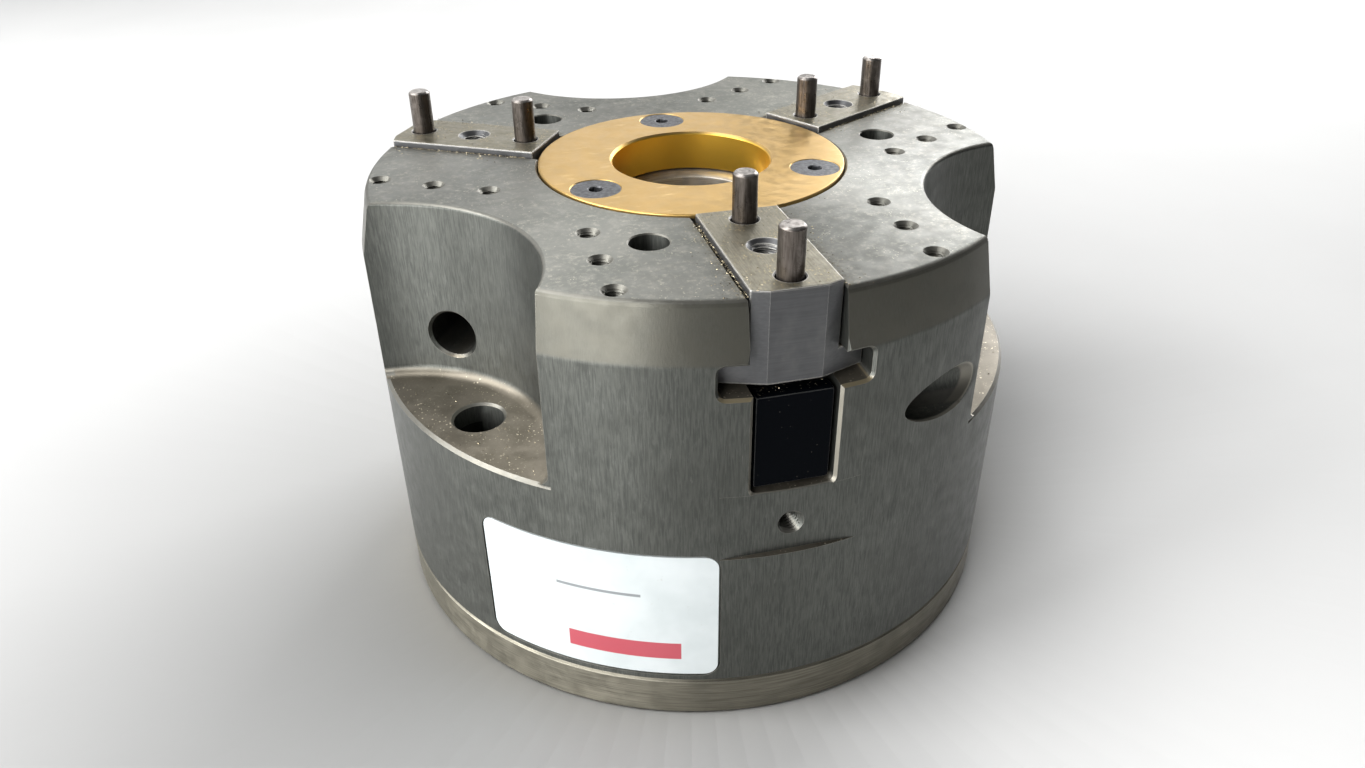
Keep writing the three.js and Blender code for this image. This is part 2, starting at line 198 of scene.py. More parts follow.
def loft(name, rings, loop=False):
    """Skins a stack of rings of equal length. A loop joins the last ring to the first."""
    count = len(rings[0])
    points = [p for ring in rings for p in ring]
    steps = len(rings) if loop else len(rings) - 1
    faces = []
    for i in range(steps):
        a = i * count
        b = ((i + 1) % len(rings)) * count
        for k in range(count):
            n = (k + 1) % count
            faces.append((a + k, a + n, b + n, b + k))
    if not loop:
        faces.append(tuple(range(count)))
        faces.append(tuple((len(rings) - 1) * count + k for k in range(count)))
    return mesh_object(name, points, faces)


def circle(radius, z, count):
    step = 2 * math.pi / count
    return [(radius * math.cos(k * step), radius * math.sin(k * step), z) for k in range(count)]


def turned(name, profile, count=FINE, loop=False):
    """A turned piece from [radius, z] points; a loop profile closes on itself."""
    return loft(name, [circle(r, z, count) for r, z in profile], loop)


def rod(name, radius, low, high, count=24):
    return turned(name, [(radius, low), (radius, high)], count)


def arc(cu, cv, radius, start, end, steps=5):
    """Points of a round corner, degrees, both ends included."""
    ways = [polar(start + (end - start) * k / steps) for k in range(steps + 1)]
    return [(cu + radius * cosine, cv + radius * sine) for cosine, sine in ways]


def block(name, u, v, z):
    base = [(u[0], v[0]), (u[1], v[0]), (u[1], v[1]), (u[0], v[1])]
    return loft(name, [[(a, b, h) for a, b in base] for h in z])


def prism(name, outline, low, high):
    """An outline in [u, v] raised from low to high."""
    return loft(name, [[(a, b, h) for a, b in outline] for h in (low, high)])


def side_prism(name, outline, half):
    """An outline in [u, z] given thickness half on each side of v = 0."""
    return loft(name, [[(a, v, b) for a, b in outline] for v in (-half, half)])


def move(obj, u=0.0, v=0.0, z=0.0, angle=0.0):
    """Shifts, then turns about Z, the mesh itself."""
    turn = Matrix.Rotation(math.radians(angle), 4, "Z")
    obj.data.transform(turn @ Matrix.Translation(Vector((u, v, z)) * MM))
    return obj


def apply_modifiers(obj):
    depsgraph = bpy.context.evaluated_depsgraph_get()
    mesh = bpy.data.meshes.new_from_object(obj.evaluated_get(depsgraph))
    old = obj.data
    obj.modifiers.clear()
    obj.data = mesh
    bpy.data.meshes.remove(old)


def combine(obj, others, operation):
    """Joins, cuts or intersects obj with the others, which are then deleted."""
    for other in others:
        modifier = obj.modifiers.new("boolean", "BOOLEAN")
        modifier.operation = operation
        modifier.solver = "MANIFOLD"
        modifier.object = other
        apply_modifiers(obj)
        bpy.data.objects.remove(other)
    return obj


def cut(obj, cutters):
    return combine(obj, cutters, "DIFFERENCE")


def join(obj, pieces):
    return combine(obj, pieces, "UNION")


def tidy_flats(obj):
    """Merges the triangles of each flat face."""
    with editing(obj.data) as bm:
        bmesh.ops.dissolve_limit(bm, angle_limit=math.radians(0.4), verts=bm.verts, edges=bm.edges,
                                 use_dissolve_boundaries=False)
    return obj


def bevel(obj, width):
    """Rounds every edge that turns by more than 35 degrees."""
    tidy_flats(obj)
    modifier = obj.modifiers.new("bevel", "BEVEL")
    modifier.width = width * MM
    modifier.segments = 2
    modifier.limit_method = "ANGLE"
    modifier.angle_limit = math.radians(35)
    modifier.use_clamp_overlap = True
    apply_modifiers(obj)
    return obj


def shade(obj, angle=32):
    """Smooth shading with sharp edges kept, and flat faces kept flat."""
    sharpest = math.radians(angle)
    with editing(obj.data) as bm:
        for face in bm.faces:
            face.smooth = True
        for edge in bm.edges:
            edge.smooth = len(edge.link_faces) == 2 and edge.calc_face_angle(0) < sharpest
    modifier = obj.modifiers.new("normals", "WEIGHTED_NORMAL")
    modifier.keep_sharp = True
    modifier.weight = 80
    return obj


def finish_piece(obj, material, body, nodes=(), angle=32):
    obj.data.materials.clear()
    obj.data.materials.append(material)
    shade(obj, angle)
    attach(obj, body)
    if nodes:
        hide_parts(*nodes)
    return obj


# --- cutters
def thread_cutter(name, major, pitch, low, high, count=24):
    """A tapped hole: its wall rises and falls in a helical V thread."""
    depth = 0.55 * pitch
    rings = []
    steps = int((high - low) / pitch * 6)
    for i in range(steps + 1):
        z = low + (high - low) * i / steps
        ring = []
        for k in range(count):
            turn = k / count
            wave = abs(((z / pitch - turn) % 1.0) * 2 - 1)
            radius = major - depth * wave
            ring.append((radius * math.cos(turn * 2 * math.pi),
                         radius * math.sin(turn * 2 * math.pi), z))
        rings.append(ring)
    return loft(name, rings)


def drilled(name, radius, low, high, mouth, count=HOLE):
    """A hole from above with a chamfer of the given width at its mouth height `high`."""
    profile = [(radius, low), (radius, high - mouth), (radius + mouth + 0.4, high + 0.4),
               (radius + mouth + 0.4, high + 1.5)]
    return turned(name, profile, count)


def tapped(name, major, pitch, low, high, mouth_r):
    """A threaded hole with a countersunk mouth."""
    thread = thread_cutter(name, major, pitch, low, high - 0.3)
    sink = mouth_r - major * 0.85
    mouth = turned(name + "_mouth", [(major * 0.85, high - sink), (mouth_r, high),
                                     (mouth_r + 0.5, high + 0.5), (mouth_r + 0.5, high + 1)], 32)
    drill = turned(name + "_drill", [(major * 0.8, low - 2), (major * 0.8, high + 0.5)], 24)
    return [thread, mouth, drill]


def bored(name, hole, wall, chamfer, start=0.0):
    """A bore along v whose mouth chamfer follows a curved wall; wall(u, offset) gives v."""
    u0, z0, r = hole["u"], hole["z"], hole["r"]

    def ring(radius, place):
        points = []
        for k in range(HOLE + 8):
            turn = 2 * math.pi * k / (HOLE + 8)
            u = u0 + radius * math.cos(turn)
            points.append((u, place(u), z0 + radius * math.sin(turn)))
        return points

    over = 0.5
    return loft(name, [
        ring(r, lambda u: start),
        ring(r, lambda u: wall(u, -chamfer)),
        ring(r + chamfer + over, lambda u: wall(u, over)),
        ring(r + chamfer + over, lambda u: 62.0),
    ])


def scallop_wall(u, offset):
    """Where a bore along v leaves through the neighbouring scallop's wall."""
    at_u, at_v = (SCALLOP_AT * part for part in polar(60))
    return at_v - math.sqrt((SCALLOP_R - offset) ** 2 - (u - at_u) ** 2)


def outer_wall(u, offset):
    return math.sqrt((BODY_R + offset) ** 2 - u * u)


def grown(outline, amount):
    """A counter-clockwise outline moved outward by amount, along each corner's bisector."""
    result = []
    count = len(outline)
    for i in range(count):
        before = Vector(outline[i - 1])
        here = Vector(outline[i])
        after = Vector(outline[(i + 1) % count])
        first = (here - before).normalized()
        second = (after - here).normalized()
        normal = Vector((first.y + second.y, -first.x - second.x))
        square = normal.length_squared
        shift = normal * (2 * amount / square) if square > 1e-9 else Vector((0, 0))
        result.append(tuple(here + shift))
    return result


def slot_outline():
    """Half of the jaw slot's opening in [v, z], bottom to top, mirrored into a whole outline."""
    corner = 1.4
    right = (arc(POCKET_V - 1.2, WINDOW_BOTTOM + 1.2, 1.2, -90, 0)
             + [(POCKET_V, SLOT_BOTTOM)]
             + arc(SLOT_V - corner, SLOT_BOTTOM + corner, corner, -90, 0)
             + arc(SLOT_V - corner, SLOT_TOP - corner, corner, 0, 90)
             + [(NECK_V, SLOT_TOP), (NECK_V, BODY_TOP - 0.4), (NECK_V + 0.9, BODY_TOP + 0.5)])
    left = [(-v, z) for v, z in reversed(right)]
    return right + left


def slot_cutter():
    """The jaw slot and window, with a chamfer where it breaks out of the round side."""
    chamfer, over = 0.6, 0.6
    outline = slot_outline()
    wide = grown(outline, chamfer + over)

    def ring(points, radius):
        return [(math.sqrt(radius ** 2 - v * v), v, z) for v, z in points]

    both = list(zip(outline, wide))
    inner, outer = [], []
    for i, (a, b) in enumerate(both):
        c, d = both[(i + 1) % len(both)]
        parts = max(1, int(math.hypot(c[0] - a[0], c[1] - a[1]) / 1.2))
        for k in range(parts):
            t = k / parts
            inner.append((a[0] + (c[0] - a[0]) * t, a[1] + (c[1] - a[1]) * t))
            outer.append((b[0] + (d[0] - b[0]) * t, b[1] + (d[1] - b[1]) * t))
    return loft("slot_cutter", [
        [(COVER_R + GAP - 1, v, z) for v, z in inner],
        ring(inner, BODY_R - chamfer),
        ring(outer, BODY_R + over),
        [(BODY_R + 6, v, z) for v, z in outer],
    ])


def ledge_edge_cutter():
    """The chamfer along a ledge's outer edge, only inside the scallop."""
    width = 0.7
    ring = turned("ledge_ring", [(BODY_R - width, LEDGE_Z + 0.02), (BODY_R + 0.5, LEDGE_Z - width - 0.48),
                                 (BODY_R + 0.5, LEDGE_Z + 0.02)], loop=True)
    zone = rod("ledge_zone", SCALLOP_R + 0.4, LEDGE_Z - 3, LEDGE_Z + 2, MEDIUM)
    return combine(ring, [move(zone, u=SCALLOP_AT)], "INTERSECT")


def curved_patch(name, radii, angles, heights, corner):
    """A plate with round corners that follows the round side, skinned column by column."""
    half = math.radians(angles[1] - angles[0]) / 2 * BODY_R
    inset = [corner * (1 - math.cos(math.radians(t))) for t in range(0, 90, 10)]
    steps = int((half - corner) / 0.6)
    middle = [-half + corner + 2 * (half - corner) * k / steps for k in range(steps + 1)]
    columns = [d - half for d in inset] + middle + [half - d for d in reversed(inset)]
    rings = []
    for s in columns:
        end = max(0.0, corner - (half - abs(s)))
        trim = corner - math.sqrt(max(0.0, corner ** 2 - end ** 2))
        low, high = heights[0] + trim, heights[1] - trim
        turn = s / BODY_R
        rings.append([(r * math.cos(turn), r * math.sin(turn), z)
                      for r, z in ((radii[0], low), (radii[1], low), (radii[1], high), (radii[0], high))])
    return move(loft(name, rings), angle=sum(angles) / 2)


# --- materials
# Painted shade: the near-black colour mixed into the walls of bores and tapped holes, where little light
# reaches.
PAINTED_HOLE_SHADE = (0.02, 0.02, 0.018)


class Finish:
    """One procedural material. Its coordinates are the piece's own, in millimetres."""

    def __init__(self, name, metallic=0.0, specular=0.5):
        self.material = bpy.data.materials.new(name)
        self.material.use_nodes = True
        self.tree = self.material.node_tree
        self.shader = self.tree.nodes["Principled BSDF"]
        self.shader.inputs["Metallic"].default_value = metallic
        self.shader.inputs["Specular IOR Level"].default_value = specular
        coords = self.node("TexCoord")
        self.normal = coords.outputs["Normal"]
        self.point = self.vector("MULTIPLY", coords.outputs["Object"], (1000, 1000, 1000))

    def put(self, socket, value):
        if isinstance(value, bpy.types.NodeSocket):
            self.tree.links.new(value, socket)
        elif isinstance(value, tuple) and len(value) == 3 and socket.type == "RGBA":
            socket.default_value = (*value, 1)
        else:
            socket.default_value = value

    def node(self, kind, *values):
        """A new node whose first inputs take the values, each a number, a colour or a socket."""
        node = self.tree.nodes.new("ShaderNode" + kind)
        for socket, value in zip(node.inputs, values):
            self.put(socket, value)
        return node

    def vector(self, operation, a, b):
        node = self.node("VectorMath", a, b)
        node.operation = operation
        return node.outputs["Value" if operation in ("DOT_PRODUCT", "DISTANCE") else "Vector"]

    def math(self, operation, a, b=0.0):
        node = self.node("Math", a, b)
        node.operation = operation
        return node.outputs[0]

    def times(self, first, *others):
        for other in others:
            first = self.math("MULTIPLY", first, other)
        return first

    def most(self, first, *others):
        for other in others:
            first = self.math("MAXIMUM", first, other)
        return first

    def along(self, way):
        """How far the point lies along a direction from the origin."""
        return self.vector("DOT_PRODUCT", self.point, way)

    def radius(self):
        return self.vector("DISTANCE", self.vector("MULTIPLY", self.point, (1, 1, 0)), (0, 0, 0))

    def away(self, value, centre):
        """How far value is from centre, on either side."""
        return self.math("ABSOLUTE", self.math("SUBTRACT", value, centre))

    def band(self, value, low, inner_low, inner_high, high):
        """1 between the inner limits, fading to 0 at the outer ones."""
        return self.times(self.ramp(value, low, inner_low), self.ramp(value, high, inner_high))

    def split(self, source, axis):
        return self.node("SeparateXYZ", source).outputs[axis]

    def noise(self, size, detail=3.0, stretch=(1, 1, 1), roughness=0.55):
        """Noise with features of about size millimetres, longer where stretch is above 1."""
        node = self.node("TexNoise", self.vector("DIVIDE", self.point, tuple(size * s for s in stretch)))
        self.put(node.inputs["Scale"], 1.0)
        self.put(node.inputs["Detail"], detail)
        self.put(node.inputs["Roughness"], roughness)
        return node.outputs["Fac"]

    def cells(self, size):
        """Voronoi cells about size millimetres wide: distance to the centre, and a random colour."""
        node = self.node("TexVoronoi", self.vector("DIVIDE", self.point, (size, size, size)))
        self.put(node.inputs["Scale"], 1.0)
        return node.outputs["Distance"], node.outputs["Color"]

    def ramp(self, value, low, high, to_low=0.0, to_high=1.0):
        node = self.node("MapRange", value, low, high, to_low, to_high)
        node.interpolation_type = "SMOOTHSTEP"
        return node.outputs[0]

    def patches(self, size, detail, low, high, to_low=0.0, to_high=1.0):
        """Noise patches, with their edges between the levels low and high."""
        return self.ramp(self.noise(size, detail), low, high, to_low, to_high)

    def mix(self, factor, a, b):
        node = self.node("Mix", factor)
        node.data_type = "RGBA"
        self.put(node.inputs[6], a)
        self.put(node.inputs[7], b)
        return node.outputs[2]

    def edges(self, radius):
        """1 along edges, 0 on open faces."""
        bevel = self.node("Bevel", radius * MM)
        bevel.samples = 6
        same = self.vector("DOT_PRODUCT", bevel.outputs[0], self.node("NewGeometry").outputs["Normal"])
        return self.ramp(same, 0.995, 0.93)

    def wear_and_edge_highlight(self, colour, radius, amount, bright):
        """The colour with its edges painted bright: partly wear, partly painted highlight."""
        return self.mix(self.times(self.edges(radius), amount), colour, bright)

    def bump(self, height, depth, strength=1.0, under=None):
        node = self.node("Bump")
        self.put(node.inputs["Height"], height)
        self.put(node.inputs["Distance"], depth * MM)
        self.put(node.inputs["Strength"], strength)
        if under is not None:
            self.put(node.inputs["Normal"], under)
        return node.outputs[0]

    def specks(self, size, share):
        """Scattered flecks: 1 inside a fleck. Share is the part of the cells that hold one."""
        distance, colour = self.cells(size)
        chosen = self.math("LESS_THAN", self.split(colour, 0), share)
        return self.times(chosen, self.ramp(distance, 0.34, 0.22))

    def turned_grain(self, amount):
        """Fine grooves round Z, so that highlights stretch along it."""
        tangent = self.node("Tangent")
        tangent.direction_type = "RADIAL"
        tangent.axis = "Z"
        self.tree.links.new(tangent.outputs[0], self.shader.inputs["Tangent"])
        self.shader.inputs["Anisotropic"].default_value = amount
        self.shader.inputs["Anisotropic Rotation"].default_value = 0.25

    def done(self, colour, roughness, normal=None):
        self.put(self.shader.inputs["Base Color"], colour)
        self.put(self.shader.inputs["Roughness"], roughness)
        if normal is not None:
            self.put(self.shader.inputs["Normal"], normal)
        return self.material


def streaked_side(f, fine):
    """Turned sides: fine upright streaks, cloudy patches and short pale scuffs."""
    side = f.mix(f.ramp(fine, 0.33, 0.67), (0.078, 0.0815, 0.0745), (0.118, 0.122, 0.110))
    grains = f.noise(0.5, 5.0, (1, 1, 5), 0.7)
    side = f.mix(f.ramp(grains, 0.48, 0.72, 0.0, 0.5), side, (0.158, 0.162, 0.148))
    side = f.mix(f.patches(17, 4.0, 0.42, 0.72, 0.0, 0.35), side, (0.0774, 0.0792, 0.0704))
    blotches = f.noise(4.5, 5.0, (1, 1, 1.6), 0.65)
    side = f.mix(f.ramp(blotches, 0.5, 0.75, 0.0, 0.25), side, (0.133, 0.138, 0.125))
    scuffs = f.times(f.ramp(f.noise(0.3, 1.0, (1, 1, 9)), 0.7, 0.78), f.patches(9, 2.0, 0.45, 0.65))
    return f.mix(f.times(scuffs, 0.45), side, (0.237, 0.237, 0.219))


def stained_top(f):
    """The flat top: clouds, stains and patches of pale dust."""
    top = f.mix(f.patches(19, 4.0, 0.35, 0.65), (0.164, 0.168, 0.152), (0.209, 0.209, 0.19))
    stains = f.noise(3.2, 5.0, (1, 1, 1), 0.65)
    top = f.mix(f.ramp(stains, 0.48, 0.72, 0.0, 0.7), top, (0.269, 0.265, 0.237))
    dust = f.times(f.specks(0.5, 0.18), f.patches(8, 3.0, 0.5, 0.64))
    return f.mix(f.times(dust, 0.8), top, (0.551, 0.528, 0.419))


def gritty_ledge(f):
    """Tan ledges with bright grit in patches."""
    ledge = f.mix(f.patches(7, 4.0, 0.35, 0.65), (0.156, 0.139, 0.108), (0.202, 0.181, 0.144))
    ledge = f.mix(f.patches(0.7, 3.0, 0.55, 0.75, 0.0, 0.5), ledge, (0.292, 0.262, 0.206))
    grit = f.most(f.specks(0.7, 0.16), f.specks(0.4, 0.12))
    return f.mix(f.times(grit, f.patches(9, 2.0, 0.42, 0.6)), ledge, (0.625, 0.564, 0.433))


def jaw_masks(f, height):
    """Masks of the top beside the jaws' necks, and of the walls of the sensor bores, which get painted
    shade.
    """
    beside, bore_wall_shade = 0.0, 0.0
    for angle in JAW_ANGLES:
        cosine, sine = polar(angle)
        sideways = f.along((-sine, cosine, 0.0))
        along = f.along((cosine, sine, 0.0))
        for bore in (SENSOR_INNER, SENSOR_OUTER):
            du, dz = f.math("SUBTRACT", along, bore["u"]), f.math("SUBTRACT", height, bore["z"])
            away = f.math("SQRT", f.math("ADD", f.times(du, du), f.times(dz, dz)))
            wall = f.times(f.ramp(away, bore["r"] + 0.12, bore["r"] + 0.04), f.ramp(sideways, 8, 9))
            bore_wall_shade = f.most(bore_wall_shade, wall)
        neck = f.ramp(f.math("ABSOLUTE", sideways), NECK_V + 4.5, NECK_V)
        beside = f.most(beside, f.times(neck, f.ramp(along, 33, 36)))
    return beside, bore_wall_shade


def anodised_finish():
    """Hard-anodised aluminium: finely streaked sides, a dusty top, tan ledges and chamfers painted
    lighter, partly wear and partly painted highlight.
    """
    f = Finish("anodised", metallic=0.8)
    f.turned_grain(0.75)
    height = f.split(f.point, 2)
    upward = f.split(f.normal, 2)
    level = f.vector("MULTIPLY", f.point, (1, 1, 0))
    radius = f.radius()
    outward = f.math("DIVIDE", f.vector("DOT_PRODUCT", level, f.normal), radius)

    fine = f.noise(0.26, 2.0, (1, 1, 16))
    side = streaked_side(f, fine)
    taper = f.times(f.ramp(height, TAPER_START - 0.6, TAPER_START + 0.5), f.ramp(outward, 0.8, 0.9),
                    f.ramp(radius, 70.5, 71.8), f.patches(5, 5.0, 0.2, 0.8, 0.7, 1.0))
    side = f.mix(taper, side, (0.122, 0.118, 0.0979))

    beside, bore_wall_shade = jaw_masks(f, height)
    top = stained_top(f)
    grime = f.times(beside, beside, f.ramp(f.noise(0.8, 5.0, (1, 1, 1), 0.7), 0.38, 0.62))
    top = f.mix(f.times(grime, 0.85), top, (0.139, 0.123, 0.0856))
    specks = f.ramp(f.noise(1.1, 6.0, (1, 1, 1), 0.78), 0.5, 0.66)
    top = f.mix(f.times(specks, f.patches(6, 4.0, 0.35, 0.65, 0.35, 1.0)), top, (0.33, 0.32, 0.275))

    colour = f.mix(f.ramp(upward, 0.8, 0.96), side, top)
    near_ledge = f.band(height, LEDGE_Z - 1, LEDGE_Z - 0.5, LEDGE_Z + 5, LEDGE_Z + 6)
    near_slot = f.band(height, SLOT_BOTTOM - 1, SLOT_BOTTOM - 0.6, SLOT_BOTTOM + 0.2, SLOT_BOTTOM + 0.5)
    on_flat = f.band(height, FLAT_Z[0] - 1, FLAT_Z[0] - 0.5, FLAT_Z[0] + 0.5, FLAT_Z[0] + 1)
    tan = f.most(near_ledge, near_slot, on_flat)
    colour = f.mix(f.times(tan, f.ramp(upward, 0.15, 0.75)), colour, gritty_ledge(f))

    # Painted highlight, partly wear: faces sloping between flat and upright, the chamfers, are painted
    # lighter in patches; the ledge fillet is left out.
    slope = f.math("ABSOLUTE", upward)
    chamfer = f.band(slope, 0.42, 0.6, 0.84, 0.93)
    fillet = f.times(near_ledge, f.ramp(height, LEDGE_Z + 0.05, LEDGE_Z + 0.2), f.ramp(radius, 73.2, 72.8))
    chamfer = f.times(chamfer, f.math("SUBTRACT", 1.0, fillet))
    chamfer_wear_and_highlight = f.patches(1.6, 4.0, 0.2, 0.6, 0.55, 1.0)
    colour = f.mix(f.times(chamfer, chamfer_wear_and_highlight), colour, (0.185, 0.18, 0.158))
    # Painted highlight: the chamfered lips of the window, from its floor up to the slot, are painted
    # bright.
    slanted = f.band(outward, 0.45, 0.55, 0.9, 0.95)
    lip = f.times(f.ramp(height, 58.2, 58.4), f.ramp(radius, 73.0, 73.4), f.most(chamfer, slanted))
    colour = f.mix(f.times(lip, f.ramp(height, 80.8, 80.6)), colour, (0.27, 0.255, 0.215))
    # Painted highlight: the chamfers beside the slot floor are painted bright tan.
    colour = f.mix(f.times(chamfer, near_slot, 0.9), colour, (0.42, 0.35, 0.22))
    # Painted highlight, partly wear: all sharp edges are painted paler.
    colour = f.wear_and_edge_highlight(colour, 0.2, 0.5, (0.30, 0.29, 0.25))

    # Painted shade: the walls of the sensor bores and of the tapped hole in the flat are darkened towards
    # black.
    thread = f.times(f.ramp(outward, 0.6, 0.5), f.ramp(radius, FLAT_U - 0.1, FLAT_U - 0.6),
                     f.ramp(f.away(height, FLAT_HOLE_Z), 3.2, 3.0))
    colour = f.mix(f.times(bore_wall_shade, 0.35), colour, PAINTED_HOLE_SHADE)
    colour = f.mix(f.times(thread, 0.8), colour, PAINTED_HOLE_SHADE)
    rough = f.patches(3.5, 4.0, 0.3, 0.7, 0.35, 0.45)
    rough = f.math("ADD", rough, f.times(f.ramp(upward, 0.8, 0.96), 0.08))
    relief = f.bump(fine, 0.02, 0.4)
    return f.done(colour, rough, f.bump(f.noise(0.5, 3.0), 0.015, 0.45, relief))


def plate_material():
    """The turned base plate: tan-grey, with fine level turning marks."""
    f = Finish("plate_finish", metallic=0.8)
    f.turned_grain(0.75)
    rings = f.noise(0.22, 2.0, (40, 40, 1))
    colour = f.mix(f.ramp(rings, 0.3, 0.7), (0.152, 0.142, 0.112), (0.244, 0.228, 0.182))
    colour = f.mix(f.patches(14, 4.0, 0.45, 0.75, 0.0, 0.6), colour, (0.132, 0.127, 0.102))
    # Painted highlight, partly wear: the plate's edges are painted paler.
    colour = f.wear_and_edge_highlight(colour, 0.5, 0.6, (0.426, 0.405, 0.334))
    rough = f.patches(4, 3.0, 0.3, 0.7, 0.36, 0.5)
    return f.done(colour, rough, f.bump(rings, 0.02, 0.5))


def gold_material():
    """Gold-anodised aluminium with faint turning rings and handling marks."""
    f = Finish("gold", metallic=0.9)
    radius = f.radius()
    ripple = f.math("SINE", f.times(radius, 2 * math.pi / 0.35))
    colour = f.mix(f.patches(9, 4.0, 0.35, 0.7), (0.48, 0.31, 0.0998), (0.542, 0.356, 0.128))
    scuff = f.times(f.ramp(f.noise(0.5, 4.0, (9, 2.5, 1)), 0.56, 0.75, 0.0, 0.5),
                    f.patches(14, 2.0, 0.4, 0.6))
    colour = f.mix(scuff, colour, (0.80, 0.60, 0.30))
    inside = f.ramp(radius, 18.35, 18.1)
    colour = f.mix(inside, colour, (0.80, 0.50, 0.065))
    # Painted highlight, partly wear: the cover's edges are painted pale gold.
    colour = f.wear_and_edge_highlight(colour, 0.2, 0.3, (0.95, 0.74, 0.32))
    rough = f.patches(3, 4.0, 0.3, 0.7, 0.29, 0.42)
    rough = f.math("ADD", f.times(rough, f.math("SUBTRACT", 1.0, inside)), f.times(inside, 0.3))
    relief = f.bump(ripple, 0.002, 0.35)
    return f.done(colour, rough, f.bump(f.noise(6, 2.0), 0.004, 0.06, relief))


def jaw_material():
    """Steel jaws: pale scratched top with swarf dust, dark oily sides, edges painted bright as wear and
    painted highlight.
    """
    f = Finish("jaw_steel", metallic=0.8)
    upward = f.ramp(f.split(f.normal, 2), 0.75, 0.95)
    grind = f.noise(0.2, 2.0, (28, 1, 1))
    cross = f.noise(0.3, 2.0, (1, 16, 6))
    top = f.mix(f.ramp(grind, 0.3, 0.7), (0.154, 0.142, 0.105), (0.24, 0.222, 0.168))
    top = f.mix(f.ramp(cross, 0.6, 0.75, 0.0, 0.5), top, (0.296, 0.276, 0.211))
    top = f.mix(f.patches(4, 5.0, 0.5, 0.72, 0.0, 0.5), top, (0.12, 0.105, 0.0681))
    dirt = f.ramp(f.noise(0.9, 5.0, (1, 1, 1), 0.7), 0.5, 0.68, 0.0, 0.6)
    top = f.mix(dirt, top, (0.101, 0.0851, 0.0536))
    pale = f.ramp(f.noise(0.6, 4.0, (1, 1, 1), 0.75), 0.58, 0.72, 0.0, 0.6)
    top = f.mix(pale, top, (0.339, 0.309, 0.223))
    dust = f.times(f.most(f.specks(0.55, 0.35), f.specks(0.35, 0.3)),
                  f.patches(5, 3.0, 0.42, 0.6))
    top = f.mix(dust, top, (0.436, 0.363, 0.205))
    marks = f.noise(0.3, 2.0, (1, 30, 1))
    side = f.mix(f.ramp(marks, 0.25, 0.75), (0.088, 0.089, 0.092), (0.104, 0.105, 0.108))
    side = f.mix(f.patches(7, 3.0, 0.45, 0.8, 0.0, 0.4), side, (0.176, 0.176, 0.173))
    colour = f.mix(upward, side, top)
    # Painted highlight, partly wear: the edges are painted pale and made less metallic.
    wear_and_edge_highlight = f.edges(0.45)
    colour = f.mix(f.times(wear_and_edge_highlight, 0.9), colour, (0.66, 0.64, 0.59))
    f.put(f.shader.inputs["Metallic"], f.ramp(wear_and_edge_highlight, 0.0, 1.0, 0.8, 0.25))
    rough = f.patches(2.2, 4.0, 0.3, 0.7, 0.34, 0.52)
    return f.done(colour, rough, f.bump(grind, 0.012, 0.6))


def pin_material():
    """Hardened dowel steel, browned, with ends bright from wear, and edges painted bright as wear and
    painted highlight.
    """
    f = Finish("pin_steel", metallic=0.9)
    streaks = f.noise(0.3, 3.0, (1, 1, 14))
    colour = f.mix(f.ramp(streaks, 0.3, 0.7), (0.063, 0.0529, 0.0445), (0.126, 0.109, 0.0966))
    colour = f.mix(f.patches(2.4, 4.0, 0.5, 0.72, 0.0, 0.6), colour, (0.185, 0.164, 0.147))
    tip = f.times(f.ramp(f.split(f.normal, 2), 0.4, 0.8), f.patches(0.9, 4.0, 0.35, 0.65, 0.4, 1.0))
    colour = f.mix(tip, colour, (0.44, 0.41, 0.385))
    # Painted highlight, partly wear: the edges, the top rim most, are painted pale.
    colour = f.wear_and_edge_highlight(colour, 0.4, 0.95, (0.62, 0.59, 0.56))
    return f.done(colour, f.patches(1.5, 3.0, 0.3, 0.7, 0.26, 0.42),
                  f.bump(f.noise(1.1, 3.0, (1, 1, 2.5)), 0.05, 0.5, f.bump(streaks, 0.006, 0.5)))


def dark_screw_material():
    f = Finish("screw_black", metallic=0.7)
    colour = f.mix(f.patches(0.7, 4.0, 0.35, 0.7), (0.055, 0.057, 0.062), (0.13, 0.135, 0.145))
    # Painted highlight, partly wear: the screws' edges are painted paler.
    colour = f.wear_and_edge_highlight(colour, 0.25, 0.5, (0.32, 0.32, 0.33))
    rough = f.patches(1.1, 3.0, 0.3, 0.7, 0.34, 0.5)
    return f.done(colour, rough, f.bump(f.noise(0.35, 2.0), 0.006, 0.3))


def gloss_block_material():
    """Polished black block with a few dust specks, and edges painted lighter, partly wear and partly
    painted highlight.
    """
    f = Finish("block_black", specular=0.02)
    dust = f.times(f.specks(0.5, 0.03), f.patches(4, 2.0, 0.5, 0.65, 0.0, 0.4))
    colour = f.mix(dust, (0.0015, 0.002, 0.003), (0.16, 0.15, 0.13))
    # Painted highlight, partly wear: the block's edges are painted paler.
    colour = f.wear_and_edge_highlight(colour, 0.3, 0.5, (0.14, 0.14, 0.135))
    rough = f.patches(6, 3.0, 0.3, 0.7, 0.07, 0.16)
    return f.done(colour, rough, f.bump(f.noise(5, 1.0), 0.01, 0.15))


def bored_steel_material(name, dark, light, metallic=0.9, low=0.24, high=0.4):
    """Machined steel or aluminium with level tool marks."""
    f = Finish(name, metallic=metallic)
    marks = f.noise(0.25, 2.0, (30, 30, 1))
    colour = f.mix(f.ramp(marks, 0.3, 0.7), dark, light)
    colour = f.mix(f.patches(5, 4.0, 0.5, 0.75, 0.0, 0.5), colour, tuple(0.6 * c for c in dark))
    # Painted highlight, partly wear: the edges are painted paler.
    colour = f.wear_and_edge_highlight(colour, 0.4, 0.5, tuple(min(1, 1.6 * c) for c in light))
    return f.done(colour, f.patches(3, 3.0, 0.3, 0.7, low, high), f.bump(marks, 0.01, 0.5))


